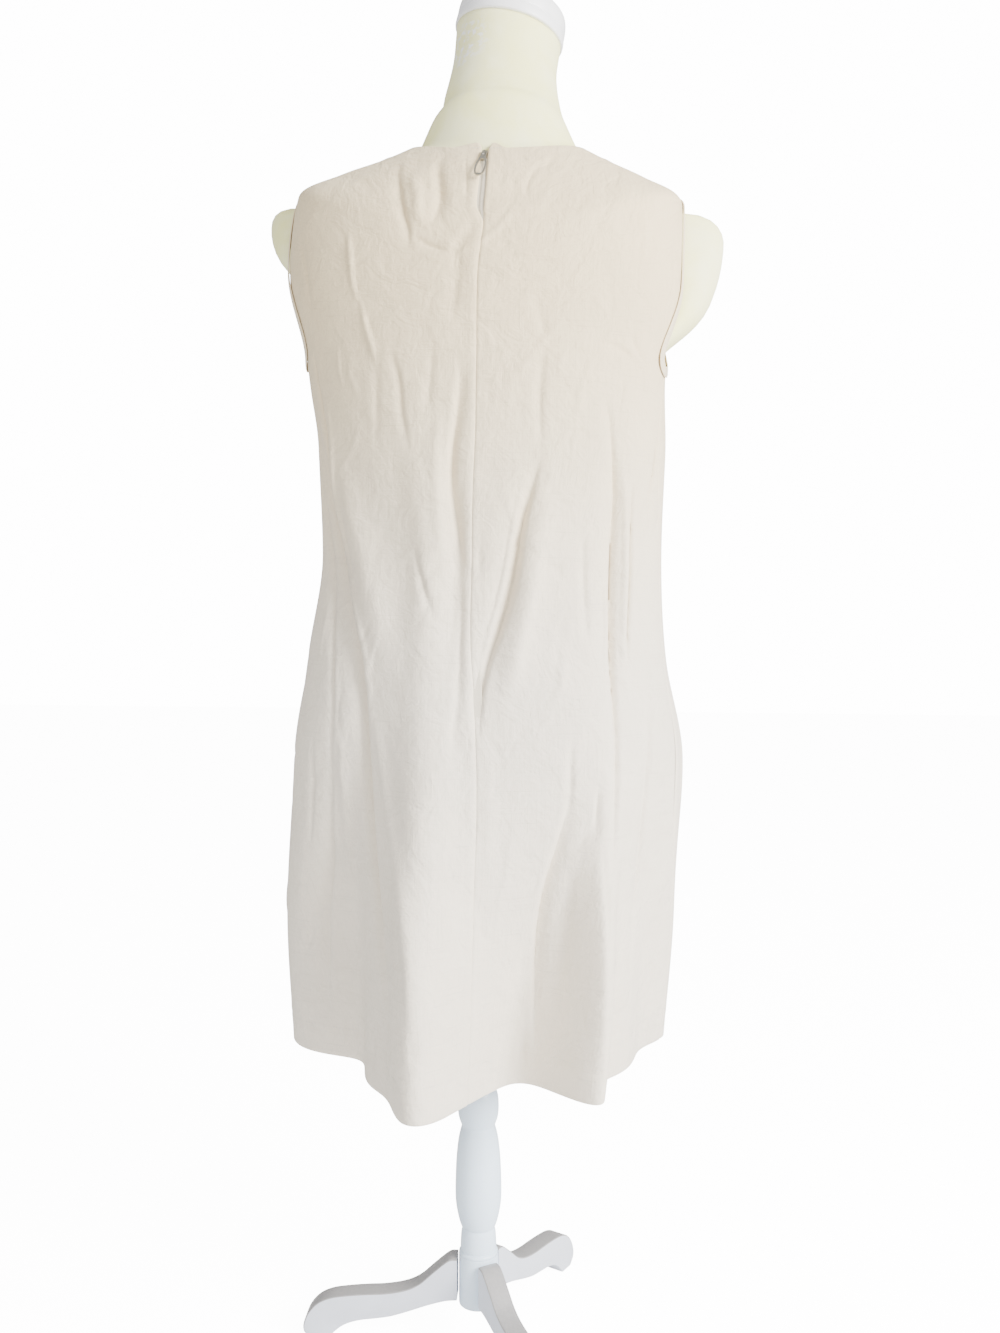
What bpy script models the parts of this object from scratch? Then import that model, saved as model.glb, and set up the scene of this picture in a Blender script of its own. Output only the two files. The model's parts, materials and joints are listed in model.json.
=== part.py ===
"""A sleeveless linen shift dress, worn by a limbless dress form on a turned tripod stand.

Everything is in metres, +Z up. The dress faces -Y, its centre back is at +Y, and +X is the
wearer's left. The dress is a set of cloth walls on one surface: a stack of rings from the hem to
the neckline, each ring found by its height at the centre back (its station). A point on the
surface is an angle round the ring and a station: 0 degrees is the left side, 90 the centre back,
180 the right side and 270 the centre front.
"""

import math
from collections import namedtuple

import bmesh
import bpy
import numpy as np

# Cloth.
CLOTH = 0.0014
SEAM_GAP = 0.0003
HEM_TURN = 0.030
HEM_EXTRA = 0.0008

# Heights on the dress, at the centre back.
HEM_Z = 0.305
UNDERARM_Z = 0.985
SHOULDER_Z = 1.092
NECK_Z = 1.179

# How far below the top ring the neckline is cut, and the corners that it leaves beside the zip.
NECK_TRIM = 0.0072
CORNER_WIDTH = {"left": 0.022, "right": 0.013}

# The armholes, in degrees round the rings, and the band sewn round each.
ARMHOLE_BACK = 15.0
ARMHOLE_FRONT = 20.0
ARMHOLE_FORWARD = {"left": 6.0, "right": 13.0}
SHOULDER_SEAM = -4.0
BAND_WIDTH = 0.0095
BAND_THICK = 0.0010
BAND_LIFT = 0.0009

# The zip, in the centre back seam.
ZIP_FOOT_Z = 0.627
ZIP_OPEN_Z = 1.092
ZIP_OPEN_WIDTH = 0.0076
ZIP_OPEN_FADE = 0.020
NOTCH_DEPTH = 0.007
NOTCH_WIDTH = 0.0135
TAPE_WIDTH = 0.016
TAPE_THICK = 0.0007
TAPE_DEEP = 0.0011
SLIDER_Z = 1.1628
SLIDER_WIDTH = 0.0050
SLIDER_LENGTH = 0.0125
SLIDER_TOP = 0.0026
BRIDGE_WIDTH = 0.0020
BRIDGE_REACH = 0.0035
BRIDGE_ROOM = 0.0018
BRIDGE_THICK = 0.0006
TAB_THICK = 0.0010
TAB_EYE_ROOM = 0.0005
TAB_SLOT_FROM = 0.0086
TAB_SLOT_TO = 0.0292
TAB_SLOT_WALL = 0.0016

# The pockets in the side seams.
POCKET_LOW_Z = 0.535
POCKET_HIGH_Z = 0.680
POCKET_GAPE = 0.0040
BAG_LOW_Z = 0.480
BAG_HIGH_Z = 0.700
BAG_THICK = 0.0016
BAG_DEEP = {"left": 0.0007, "right": 0.0016}
BAG_DEEPEST = 0.0046

# The form and its stand.
BODY_BASE_Z = 0.545
BODY_BASE_ROUND = 0.012
BODY_BASE_SHARE = 0.93
STUMP_EDGE = 0.88
STUMP_TOP = 0.4
LENS_LEAST = 3.0
POLE_RADIUS = 0.0125
POLE_FOOT_Z = 0.2663
HUB_RADIUS = 0.0200
HUB_LOW_Z = 0.0400
HUB_TOP_Z = 0.0902
HUB_EDGE = 0.0010
LEG_THICK = 0.0215
LEG_ANGLES = (245.0, 5.0, 125.0)

# How the walls are divided.
BACK_COLUMNS = 23
FRONT_COLUMNS = 28
SKIRT_ROWS = 17
ARMHOLE_ROWS = 10
ROUND_SEGMENTS = 24

# The rings of the dress, from the hem up. The first three columns are the ring's height at the
# centre back, at the sides and at the centre front. The depths are measured from the ring's own
# centre, a squareness of 2 is an ellipse, and the rise lifts the ring towards the left: the form
# leans a little to the right on its stand.
Ring = namedtuple(
    "Ring",
    "station side_z front_z half_width back_depth front_depth centre_x centre_y squareness rise",
)
DRESS_RINGS = (
    Ring(0.305, 0.318, 0.305, 0.1880, 0.147, 0.120, 0.0010, 0.000, 1.9, -0.026),
    Ring(0.450, 0.450, 0.450, 0.1945, 0.132, 0.120, -0.0005, 0.000, 2.0, -0.020),
    Ring(0.600, 0.600, 0.600, 0.1920, 0.122, 0.120, -0.0070, 0.000, 2.1, 0.000),
    Ring(0.700, 0.700, 0.700, 0.1775, 0.112, 0.116, -0.0075, 0.000, 2.1, 0.010),
    Ring(0.800, 0.800, 0.800, 0.1675, 0.102, 0.116, -0.0125, 0.000, 2.1, 0.020),
    Ring(0.900, 0.900, 0.900, 0.1710, 0.102, 0.124, -0.0122, 0.000, 2.2, 0.030),
    Ring(0.985, 0.985, 0.985, 0.1755, 0.106, 0.126, -0.0075, 0.000, 2.3, 0.040),
    Ring(1.040, 1.066, 1.020, 0.1915, 0.109, 0.118, -0.0065, 0.000, 2.3, 0.055),
    Ring(1.092, 1.143, 1.055, 0.1870, 0.106, 0.106, -0.0110, 0.000, 2.3, 0.055),
    Ring(1.125, 1.164, 1.078, 0.1500, 0.096, 0.096, -0.0160, 0.000, 2.2, 0.055),
    Ring(1.155, 1.179, 1.098, 0.1120, 0.082, 0.084, -0.0200, 0.000, 2.1, 0.050),
    Ring(1.179, 1.196, 1.115, 0.0780, 0.064, 0.072, -0.0215, 0.000, 2.0, 0.045),
)

# The seams' angles: the side seams hang a little behind the sides at the top, and the centre back
# seam swings to the right.
Seams = namedtuple("Seams", "station left right back")
SEAM_ANGLES = (
    Seams(0.305, 4.0, 178.0, 95.0),
    Seams(0.450, 2.0, 175.0, 94.5),
    Seams(0.500, 1.0, 173.0, 94.0),
    Seams(0.570, -1.0, 170.0, 93.2),
    Seams(0.640, -2.0, 171.0, 92.3),
    Seams(0.800, 3.0, 171.0, 89.5),
    Seams(0.910, 8.0, 163.0, 90.4),
    Seams(0.985, 10.0, 172.0, 91.7),
    Seams(1.050, 10.0, 172.0, 92.3),
    Seams(1.092, 10.0, 172.0, 92.2),
    Seams(1.110, 10.0, 172.0, 91.1),
    Seams(1.130, 10.0, 172.0, 90.7),
    Seams(1.155, 10.0, 172.0, 89.6),
    Seams(1.179, 10.0, 172.0, 87.4),
)

# Folds that start somewhere on the dress and grow down to the hem: crests have a positive depth.
Fold = namedtuple("Fold", "top_angle hem_angle top_z depth width")
FOLDS = (
    Fold(79.0, 83.6, 0.760, 0.052, 9.2),
    Fold(57.4, 42.3, 0.740, -0.045, 16.5),
    Fold(118.2, 110.8, 0.640, -0.038, 13.9),
    Fold(132.4, 126.0, 0.620, 0.050, 5.7),
    Fold(139.0, 163.1, 0.860, -0.017, 13.7),
    Fold(222.0, 216.0, 0.600, -0.026, 12.0),
    Fold(246.0, 242.0, 0.740, 0.030, 12.0),
    Fold(270.0, 272.0, 0.640, -0.020, 13.0),
    Fold(300.0, 303.0, 0.720, 0.028, 12.0),
    Fold(324.0, 330.0, 0.600, -0.022, 11.0),
)

# Creases that fade out at both ends, each along a straight line of angle and station.
Crease = namedtuple("Crease", "from_angle from_z to_angle to_z depth width")
CREASES = (
    Crease(10.0, 0.960, 58.0, 0.640, -0.0110, 8.0),
    Crease(30.0, 0.940, 74.0, 0.640, 0.0060, 7.0),
    Crease(109.0, 0.910, 92.0, 0.640, -0.0060, 4.0),
    Crease(113.0, 0.900, 99.0, 0.620, 0.0050, 5.0),
    Crease(83.5, 0.930, 87.0, 0.640, -0.0050, 3.0),
    Crease(73.0, 0.960, 80.0, 0.600, 0.0060, 6.0),
    Crease(136.0, 0.960, 138.0, 0.560, -0.0050, 4.5),
    Crease(187.0, 0.720, 186.0, 0.480, 0.0040, 5.0),
    Crease(236.0, 0.950, 228.0, 0.620, -0.0080, 8.0),
    Crease(304.0, 0.950, 312.0, 0.620, -0.0080, 8.0),
    Crease(262.0, 0.900, 250.0, 0.600, 0.0060, 8.0),
)

# How far the form's body lies inside the dress. Only the shoulders carry it.
Slack = namedtuple("Slack", "station side back front")
BODY_SLACK = (
    Slack(0.545, 0.030, 0.030, 0.030),
    Slack(0.600, 0.019, 0.020, 0.020),
    Slack(0.700, 0.032, 0.022, 0.032),
    Slack(0.800, 0.052, 0.030, 0.040),
    Slack(0.900, 0.030, 0.020, 0.024),
    Slack(0.985, 0.008, 0.008, 0.008),
    Slack(1.040, 0.005, 0.004, 0.005),
    Slack(1.092, 0.0060, 0.005, 0.0075),
    Slack(1.130, 0.0032, 0.003, 0.0050),
    Slack(1.179, 0.0009, 0.003, 0.003),
)

# The form's neck above the neckline, leaning to the front and the right. The rises tilt each ring.
NeckRing = namedtuple("NeckRing", "height half_width depth centre_x centre_y rise_x rise_y")
NECK_RINGS = (
    NeckRing(1.2075, 0.0695, 0.0590, -0.0220, -0.003, 0.04, 0.30),
    NeckRing(1.2265, 0.0605, 0.0560, -0.0230, -0.007, 0.02, 0.20),
    NeckRing(1.2460, 0.0565, 0.0540, -0.0225, -0.011, 0.02, 0.13),
    NeckRing(1.2650, 0.0530, 0.0530, -0.0235, -0.015, 0.05, 0.09),
    NeckRing(1.2840, 0.0510, 0.0515, -0.0250, -0.019, 0.11, 0.08),
    NeckRing(1.3130, 0.0515, 0.0515, -0.0275, -0.024, 0.19, 0.10),
)

# The rounded stump through each armhole, with the armhole's half height as the unit: its peak's
# height over the armhole's middle, how far it reaches above and below that peak, and how steeply
# it falls away below.
Stump = namedtuple("Stump", "side size peak above below fall")
STUMPS = (
    Stump(1, 0.0430, 0.72, 0.255, 0.78, 1.0),
    Stump(-1, 0.0515, 0.60, 0.390, 1.65, 1.5),
)

# The pocket bag's reach from the side seam, by its share of the bag's height from the bottom up.
Reach = namedtuple("Reach", "share reach")
BAG_REACH = (
    Reach(0.00, 0.070),
    Reach(0.15, 0.108),
    Reach(0.40, 0.118),
    Reach(0.70, 0.085),
    Reach(1.00, 0.045),
)

# The pull tab's outline: its half width by the distance down from the bridge.
Lobe = namedtuple("Lobe", "length half_width")
TAB_LOBES = (
    Lobe(-0.0005, 0.0024),
    Lobe(0.0035, 0.0024),
    Lobe(0.0085, 0.0033),
    Lobe(0.0130, 0.0044),
    Lobe(0.0190, 0.0052),
    Lobe(0.0250, 0.0050),
    Lobe(0.0300, 0.0036),
    Lobe(0.0322, 0.0016),
)

# The turned column, bottom to top.
Turn = namedtuple("Turn", "height radius")
COLUMN = (
    Turn(0.0905, 0.0195),
    Turn(0.0925, 0.0198),
    Turn(0.0950, 0.0180),
    Turn(0.1000, 0.0183),
    Turn(0.1120, 0.0176),
    Turn(0.1160, 0.0168),
    Turn(0.1185, 0.0165),
    Turn(0.1210, 0.0180),
    Turn(0.1300, 0.0206),
    Turn(0.1430, 0.0229),
    Turn(0.1560, 0.0235),
    Turn(0.1750, 0.0231),
    Turn(0.1920, 0.0222),
    Turn(0.2090, 0.0203),
    Turn(0.2200, 0.0178),
    Turn(0.2235, 0.0168),
    Turn(0.2265, 0.0180),
    Turn(0.2340, 0.0202),
    Turn(0.2440, 0.0208),
    Turn(0.2540, 0.0200),
    Turn(0.2620, 0.0172),
    Turn(0.2660, 0.0140),
)

# The neck's cap, from its seat up.
CAP = (
    Turn(0.0000, 0.0533),
    Turn(0.0012, 0.0545),
    Turn(0.0200, 0.0537),
    Turn(0.0270, 0.0510),
    Turn(0.0320, 0.0425),
    Turn(0.0350, 0.0285),
    Turn(0.0360, 0.0105),
)

# One scroll leg from the side: its distance out from the column's axis and its height.
Edge = namedtuple("Edge", "reach height")
LEG_TOP = (
    Edge(0.012, 0.0880),
    Edge(0.030, 0.0860),
    Edge(0.045, 0.0740),
    Edge(0.060, 0.0610),
    Edge(0.075, 0.0540),
    Edge(0.095, 0.0500),
    Edge(0.115, 0.0485),
    Edge(0.135, 0.0465),
    Edge(0.152, 0.0435),
    Edge(0.165, 0.0375),
    Edge(0.174, 0.0280),
    Edge(0.179, 0.0170),
    Edge(0.179, 0.0080),
    Edge(0.172, 0.0000),
)
LEG_UNDER = (
    Edge(0.154, 0.0000),
    Edge(0.146, 0.0090),
    Edge(0.136, 0.0160),
    Edge(0.122, 0.0205),
    Edge(0.105, 0.0230),
    Edge(0.090, 0.0255),
    Edge(0.072, 0.0310),
    Edge(0.052, 0.0380),
    Edge(0.034, 0.0430),
    Edge(0.012, 0.0450),
)


def smooth_curve(at, values):
    """A cubic through the points that never overshoots them.

    The slope at each inner point is the harmonic mean of its two sides' slopes, or 0 at a turn.
    """
    at = np.asarray(at, float)
    values = np.asarray(values, float)
    step = np.diff(at)
    side = np.diff(values) / step
    left, right = side[:-1], side[1:]
    same = left * right > 0
    mean = np.where(same, 2 * left * right / np.where(same, left + right, 1.0), 0.0)
    slope = np.concatenate([side[:1], mean, side[-1:]])

    def value(where):
        where = np.clip(where, at[0], at[-1])
        k = np.clip(np.searchsorted(at, where) - 1, 0, len(step) - 1)
        t = (where - at[k]) / step[k]
        return (
            (2 * t**3 - 3 * t**2 + 1) * values[k]
            + (t**3 - 2 * t**2 + t) * step[k] * slope[k]
            + (3 * t**2 - 2 * t**3) * values[k + 1]
            + (t**3 - t**2) * step[k] * slope[k + 1]
        )

    return value


def columns(rows):
    """One smooth curve over the station for each column of a table of rings."""
    stations = [row.station for row in rows]
    curves = {}
    for name in rows[0]._fields:
        curves[name] = smooth_curve(stations, [getattr(row, name) for row in rows])
    return curves


DRESS = columns(DRESS_RINGS)


def ease(t):
    """0 below 0, 1 above 1 and a smooth S between."""
    t = np.clip(t, 0.0, 1.0)
    return t * t * (3 - 2 * t)


def turned(angle, squareness):
    """The cosine and sine of a ring that a squareness above 2 fills out towards its corners."""
    power = 2.0 / squareness
    c, s = np.cos(angle), np.sin(angle)
    return np.sign(c) * np.abs(c) ** power, np.sign(s) * np.abs(s) ** power


def ring_point(ring, angle, station):
    """The point of the dress's ring stack at an angle and a station, without folds."""
    c, s = turned(angle, ring["squareness"](station))
    behind = s > 0
    depth = np.where(behind, ring["back_depth"](station), ring["front_depth"](station))
    end_z = np.where(behind, station, ring["front_z"](station))
    side_z = ring["side_z"](station)
    x = ring["centre_x"](station) + ring["half_width"](station) * c
    y = ring["centre_y"](station) + depth * s
    z = side_z + (end_z - side_z) * np.sin(angle) ** 2 + ring["rise"](station) * x
    return np.stack(np.broadcast_arrays(x, y, z), axis=-1)


def fold_push(angle, station):
    """How far the folds and creases push the cloth out from its ring, or in."""
    degrees = np.degrees(angle)
    push = np.zeros(np.broadcast(angle, station).shape)
    for fold in FOLDS:
        down = np.clip((fold.top_z - station) / (fold.top_z - HEM_Z), 0.0, 1.0)
        middle = fold.top_angle + (fold.hem_angle - fold.top_angle) * down
        off = (degrees - middle + 180.0) % 360.0 - 180.0
        push = push + fold.depth * ease(down) * np.exp(-((off / fold.width) ** 2))
    for crease in CREASES:
        along = np.clip((crease.from_z - station) / (crease.from_z - crease.to_z), 0.0, 1.0)
        middle = crease.from_angle + (crease.to_angle - crease.from_angle) * along
        off = (degrees - middle + 180.0) % 360.0 - 180.0
        fade = np.sin(math.pi * along) ** 2
        push = push + crease.depth * fade * np.exp(-((off / crease.width) ** 2))
    return push


def dress_surface(angle, station, folded=True):
    """The inner face of the dress: its ring, pushed out or in by the folds."""
    angle, station = np.broadcast_arrays(np.asarray(angle, float), np.asarray(station, float))
    point = ring_point(DRESS, angle, station)
    if not folded:
        return point
    away = np.stack([np.cos(angle), np.sin(angle), np.zeros_like(angle)], axis=-1)
    return point + away * fold_push(angle, station)[..., None]


def directions(angle, station, folded=True):
    """The surface's steps round and up at a point, and its outward normal, by small differences."""
    d = 1e-3
    angle, station = np.broadcast_arrays(np.asarray(angle, float), np.asarray(station, float))
    low, high = np.clip(station - d, HEM_Z, None), np.clip(station + d, None, NECK_Z)
    around = dress_surface(angle + d, station, folded) - dress_surface(angle - d, station, folded)
    around = around / (2 * d)
    up = dress_surface(angle, high, folded) - dress_surface(angle, low, folded)
    up = up / (high - low)[..., None]
    normal = np.cross(around, up)
    normal /= np.linalg.norm(normal, axis=-1, keepdims=True)
    return around, up, normal


def cloth(angle, station, out=0.0, folded=True):
    """A point on the dress, out metres outside the cloth's inner face."""
    normal = directions(angle, station, folded)[2]
    return dress_surface(angle, station, folded) + normal * np.asarray(out)[..., None]


def degrees_for(angle, station, width):
    """The step in angle, in radians, that goes width metres round the dress at a point."""
    around = directions(angle, station)[0]
    return width / np.linalg.norm(around, axis=-1)


def side_name(side):
    return "left" if side > 0 else "right"


SEAMS = columns(SEAM_ANGLES)
SLACK = columns(BODY_SLACK)


def side_seam(side, station):
    """The side seam's angle in degrees, led round the front of the side to the shoulder seam."""
    seam = SEAMS[side_name(side)](np.minimum(station, UNDERARM_Z))
    shoulder = SHOULDER_SEAM if side > 0 else 180.0 - SHOULDER_SEAM
    up = ease((station - UNDERARM_Z) / (SHOULDER_Z - UNDERARM_Z))
    forward = ARMHOLE_FORWARD[side_name(side)] * armhole_opening(station) ** 2
    return seam + (shoulder - seam) * up - side * forward


def armhole_opening(station):
    """1 at the widest of the armhole and 0 at its ends: a half circle over the station."""
    middle, half = (UNDERARM_Z + SHOULDER_Z) / 2, (SHOULDER_Z - UNDERARM_Z) / 2
    return np.sqrt(np.clip(1 - ((station - middle) / half) ** 2, 0.0, 1.0))


def panel_edge(side, behind, station):
    """The angle, in radians, of a panel's edge at the side: side seam, armhole, shoulder seam.

    behind is True for the back's edge. The half gap of the seam, and of the pocket in it, is
    turned into an angle by the surface's own size there.
    """
    toward = side if behind else -side
    opening = ARMHOLE_BACK if behind else ARMHOLE_FRONT
    edge = np.radians(side_seam(side, station) + toward * opening * armhole_opening(station))
    pocket = np.clip((station - POCKET_LOW_Z) / (POCKET_HIGH_Z - POCKET_LOW_Z), 0.0, 1.0)
    gap = SEAM_GAP + (POCKET_GAPE - SEAM_GAP) * np.sin(math.pi * pocket)
    return edge + toward * degrees_for(edge, station, gap / 2)


def centre_back(side, station):
    """The angle, in radians, of a back panel's edge along the zip."""
    middle = np.radians(SEAMS["back"](station))
    opened = ease((station - ZIP_OPEN_Z) / ZIP_OPEN_FADE)
    width = SEAM_GAP + (ZIP_OPEN_WIDTH - SEAM_GAP) * opened
    notch = np.clip((station - NECK_Z + NOTCH_DEPTH) / NOTCH_DEPTH, 0.0, 1.0)
    width = width + (NOTCH_WIDTH - ZIP_OPEN_WIDTH) * notch**2
    return middle - side * degrees_for(middle, station, width / 2)


def neck_cut(angle, station):
    """Stations above the shoulders, pressed down to the cut neckline: only the zip's corners stay."""
    turn = angle - np.radians(SEAMS["back"](NECK_Z))
    wide = np.where(turn < 0, CORNER_WIDTH["left"], CORNER_WIDTH["right"])
    off = np.abs((turn + math.pi) % (2 * math.pi) - math.pi)
    away = np.clip(off / degrees_for(angle, NECK_Z, wide) - NOTCH_WIDTH / 2 / wide, 0.0, None)
    cut = NECK_TRIM * ease(away)
    share = np.clip((station - SHOULDER_Z) / (NECK_Z - SHOULDER_Z), 0.0, 1.0)
    return station - cut * share


def panel_stations():
    """The heights of a panel's rows: hem turn, skirt and body, armhole, shoulder, neck notch."""
    skirt = np.linspace(HEM_Z + HEM_TURN + 0.002, UNDERARM_Z, SKIRT_ROWS)
    turn = np.linspace(0.0, math.pi, ARMHOLE_ROWS + 1)[1:]
    armhole = (UNDERARM_Z + SHOULDER_Z) / 2 - (SHOULDER_Z - UNDERARM_Z) / 2 * np.cos(turn)
    shoulder = np.linspace(SHOULDER_Z, NECK_Z - NOTCH_DEPTH, 5)[1:]
    notch = [NECK_Z - NOTCH_DEPTH / 2, NECK_Z]
    return np.concatenate([[HEM_Z, HEM_Z + HEM_TURN], skirt, armhole, shoulder, notch])


def material(name, colour, roughness, metallic=0.0):
    """A plain Principled finish."""
    made = bpy.data.materials.new(name)
    made.use_nodes = True
    made.diffuse_color = (*colour, 1.0)
    shader = made.node_tree.nodes["Principled BSDF"]
    shader.inputs["Base Color"].default_value = (*colour, 1.0)
    shader.inputs["Roughness"].default_value = roughness
    shader.inputs["Metallic"].default_value = metallic
    return made


def solid(name, points, faces, finish, smooth=True):
    """A closed body from points and faces, with its faces turned outwards."""
    mesh = bpy.data.meshes.new(name)
    mesh.from_pydata([tuple(point) for point in points], [], faces)
    work = bmesh.new()
    work.from_mesh(mesh)
    bmesh.ops.recalc_face_normals(work, faces=work.faces)
    if work.calc_volume(signed=True) < 0:
        bmesh.ops.reverse_faces(work, faces=work.faces)
    work.to_mesh(mesh)
    work.free()
    mesh.materials.append(finish)
    if smooth:
        mesh.shade_smooth()
        mesh.set_sharp_from_angle(angle=math.radians(40))
    made = bpy.data.objects.new(name, mesh)
    bpy.context.scene.collection.objects.link(made)
    return made


def grid_faces(rows, cols, start, closed):
    """The triangles of a grid of points, all split along the same diagonal."""
    faces = []
    for row in range(rows - 1):
        for col in range(cols if closed else cols - 1):
            a = start + row * cols + col
            b = start + row * cols + (col + 1) % cols
            faces += [(a, b, b + cols), (a, b + cols, a + cols)]
    return faces


def wall(name, inner, outer, finish, closed=False):
    """A wall between two grids of points; closed joins the last column to the first."""
    rows, cols = inner.shape[:2]
    count = rows * cols
    faces = [(c, b, a) for a, b, c in grid_faces(rows, cols, 0, closed)]
    faces += grid_faces(rows, cols, count, closed)
    bottom = [col for col in range(cols)]
    top = [(rows - 1) * cols + col for col in range(cols)]
    if closed:
        rims = [bottom + bottom[:1], top[:1] + top[::-1]]
    else:
        right = [row * cols + cols - 1 for row in range(rows)]
        left = [row * cols for row in range(rows)]
        rims = [bottom + right[1:] + top[-2::-1] + left[-2::-1]]
    for rim in rims:
        for a, b in zip(rim, rim[1:]):
            faces += [(a, b, b + count), (a, b + count, a + count)]
    points = np.concatenate([inner.reshape(-1, 3), outer.reshape(-1, 3)])
    return solid(name, points, faces, finish)


def capped(name, rings, finish):
    """A closed body through rings of points, with a flat face at each end."""
    count, cols = rings.shape[:2]
    faces = grid_faces(count, cols, 0, True)
    faces += [tuple(range(cols))[::-1], tuple((count - 1) * cols + col for col in range(cols))]
    return solid(name, rings.reshape(-1, 3), faces, finish)


def panel(name, start, end, cols, finish):
    """A panel of the dress between two edges, each a function that gives its angle at a station."""
    station = panel_stations()[:, None] + np.zeros((1, cols + 1))
    across = np.linspace(0.0, 1.0, cols + 1)
    rows = station[:, :1]
    angle = start(rows) + (end(rows) - start(rows)) * across
    station = neck_cut(angle, station)
    inside = np.where(station < HEM_Z + HEM_TURN + 0.001, -HEM_EXTRA, 0.0)
    outer = cloth(angle, station, np.full(station.shape, CLOTH))
    return wall(name, cloth(angle, station, inside), outer, finish)


def make_panels(linen):
    def left_back(z):
        return panel_edge(1, True, z)

    def right_back(z):
        return panel_edge(-1, True, z)

    def left_front(z):
        return 2 * math.pi + panel_edge(1, False, z)

    def right_front(z):
        return panel_edge(-1, False, z)

    def left_zip(z):
        return centre_back(1, z)

    def right_zip(z):
        return centre_back(-1, z)

    panel("back_panel_left", left_back, left_zip, BACK_COLUMNS, linen)
    panel("back_panel_right", right_zip, right_back, BACK_COLUMNS, linen)
    panel("front_panel", right_front, left_front, FRONT_COLUMNS, linen)


def make_armhole_band(side, linen):
    """A flat band on the panels round one armhole: its edge is the armhole's, its width goes outwards."""
    turn = np.linspace(0.0, 2 * math.pi, 37)[:-1]
    station = (UNDERARM_Z + SHOULDER_Z) / 2 - (SHOULDER_Z - UNDERARM_Z) / 2 * np.cos(turn)
    behind = np.sin(turn) > 0
    opening = np.where(behind, ARMHOLE_BACK, ARMHOLE_FRONT) * np.sin(turn)
    angle = np.radians(side_seam(side, station) + side * opening)
    edge = dress_surface(angle, station)
    around, up, normal = directions(angle, station)
    along = np.roll(edge, -1, axis=0) - np.roll(edge, 1, axis=0)
    away = np.cross(along, normal)
    away /= np.linalg.norm(away, axis=-1, keepdims=True)
    centre = edge.mean(axis=0)
    away *= np.sign(((edge - centre) * away).sum(axis=-1).mean())
    steps = []
    for a, u, w in zip(around, up, away):
        steps.append(np.linalg.lstsq(np.stack([a, u], axis=1), w * BAND_WIDTH, rcond=None)[0])
    steps = np.array(steps)
    share = np.array([0.0, 0.5, 1.0])[:, None]
    angles = angle + share * steps[:, 0]
    stations = station + share * steps[:, 1]
    low = np.full(angles.shape, CLOTH + BAND_LIFT)
    inner, outer = cloth(angles, stations, low), cloth(angles, stations, low + BAND_THICK)
    wall(f"armhole_band_{side_name(side)}", inner, outer, linen, closed=True)


def make_pocket_bag(side, linen):
    """A flat bag inside the front, hung from the side seam."""
    station = np.linspace(BAG_LOW_Z, BAG_HIGH_Z, 9)[:, None]
    reach = smooth_curve([row.share for row in BAG_REACH], [row.reach for row in BAG_REACH])
    share = (station - BAG_LOW_Z) / (BAG_HIGH_Z - BAG_LOW_Z)
    start = panel_edge(side, False, station)
    width = degrees_for(start, station, reach(share))
    across = np.linspace(0.03, 1.0, 7)
    angle = start - side * width * across
    station = station + np.zeros_like(angle)
    at_seam = BAG_DEEP[side_name(side)]
    outside = -at_seam - (BAG_DEEPEST - at_seam) * ease(across / 0.3) + np.zeros_like(angle)
    inner, outer = cloth(angle, station, outside - BAG_THICK), cloth(angle, station, outside)
    wall(f"pocket_bag_{side_name(side)}", inner, outer, linen)


def make_zip_tape(linen):
    """The tape behind the centre back seam, from below the zip's foot up to the notch."""
    station = np.linspace(ZIP_FOOT_Z - 0.012, NECK_Z - NOTCH_DEPTH - 0.001, 20)[:, None]
    middle = np.radians(SEAMS["back"](station))
    half = degrees_for(middle, station, TAPE_WIDTH / 2)
    angle = middle + half * np.linspace(-1.0, 1.0, 4)
    station = station + np.zeros_like(angle)
    outside = np.full(angle.shape, -TAPE_DEEP)
    inner, outer = cloth(angle, station, outside - TAPE_THICK), cloth(angle, station, outside)
    wall("zip_tape", inner, outer, linen)


def slider_frame():
    """The slider's place on the zip: its origin and its across, up and outward directions."""
    angle = np.radians(SEAMS["back"](SLIDER_Z))
    origin = dress_surface(angle, SLIDER_Z)
    _, up, out = directions(angle, SLIDER_Z)
    up = up - out * (up @ out)
    up /= np.linalg.norm(up)
    return origin, np.cross(up, out), up, out


def placed(local, frame):
    """Local points (across, up, out) in the slider's frame, as world points."""
    origin, across, up, out = frame
    return origin + local[..., :1] * across + local[..., 1:2] * up + local[..., 2:] * out


def extruded(outline, half, axis):
    """A closed prism: an outline of two coordinates, carried from -half to half along the third."""
    count = len(outline)
    points = np.zeros((2 * count, 3))
    others = [i for i in range(3) if i != axis]
    for end, at in enumerate((-half, half)):
        points[end * count : (end + 1) * count, others] = outline
        points[end * count : (end + 1) * count, axis] = at
    faces = [tuple(range(count))[::-1], tuple(range(count, 2 * count))]
    faces += [(k, (k + 1) % count, (k + 1) % count + count, k + count) for k in range(count)]
    return points, faces


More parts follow.
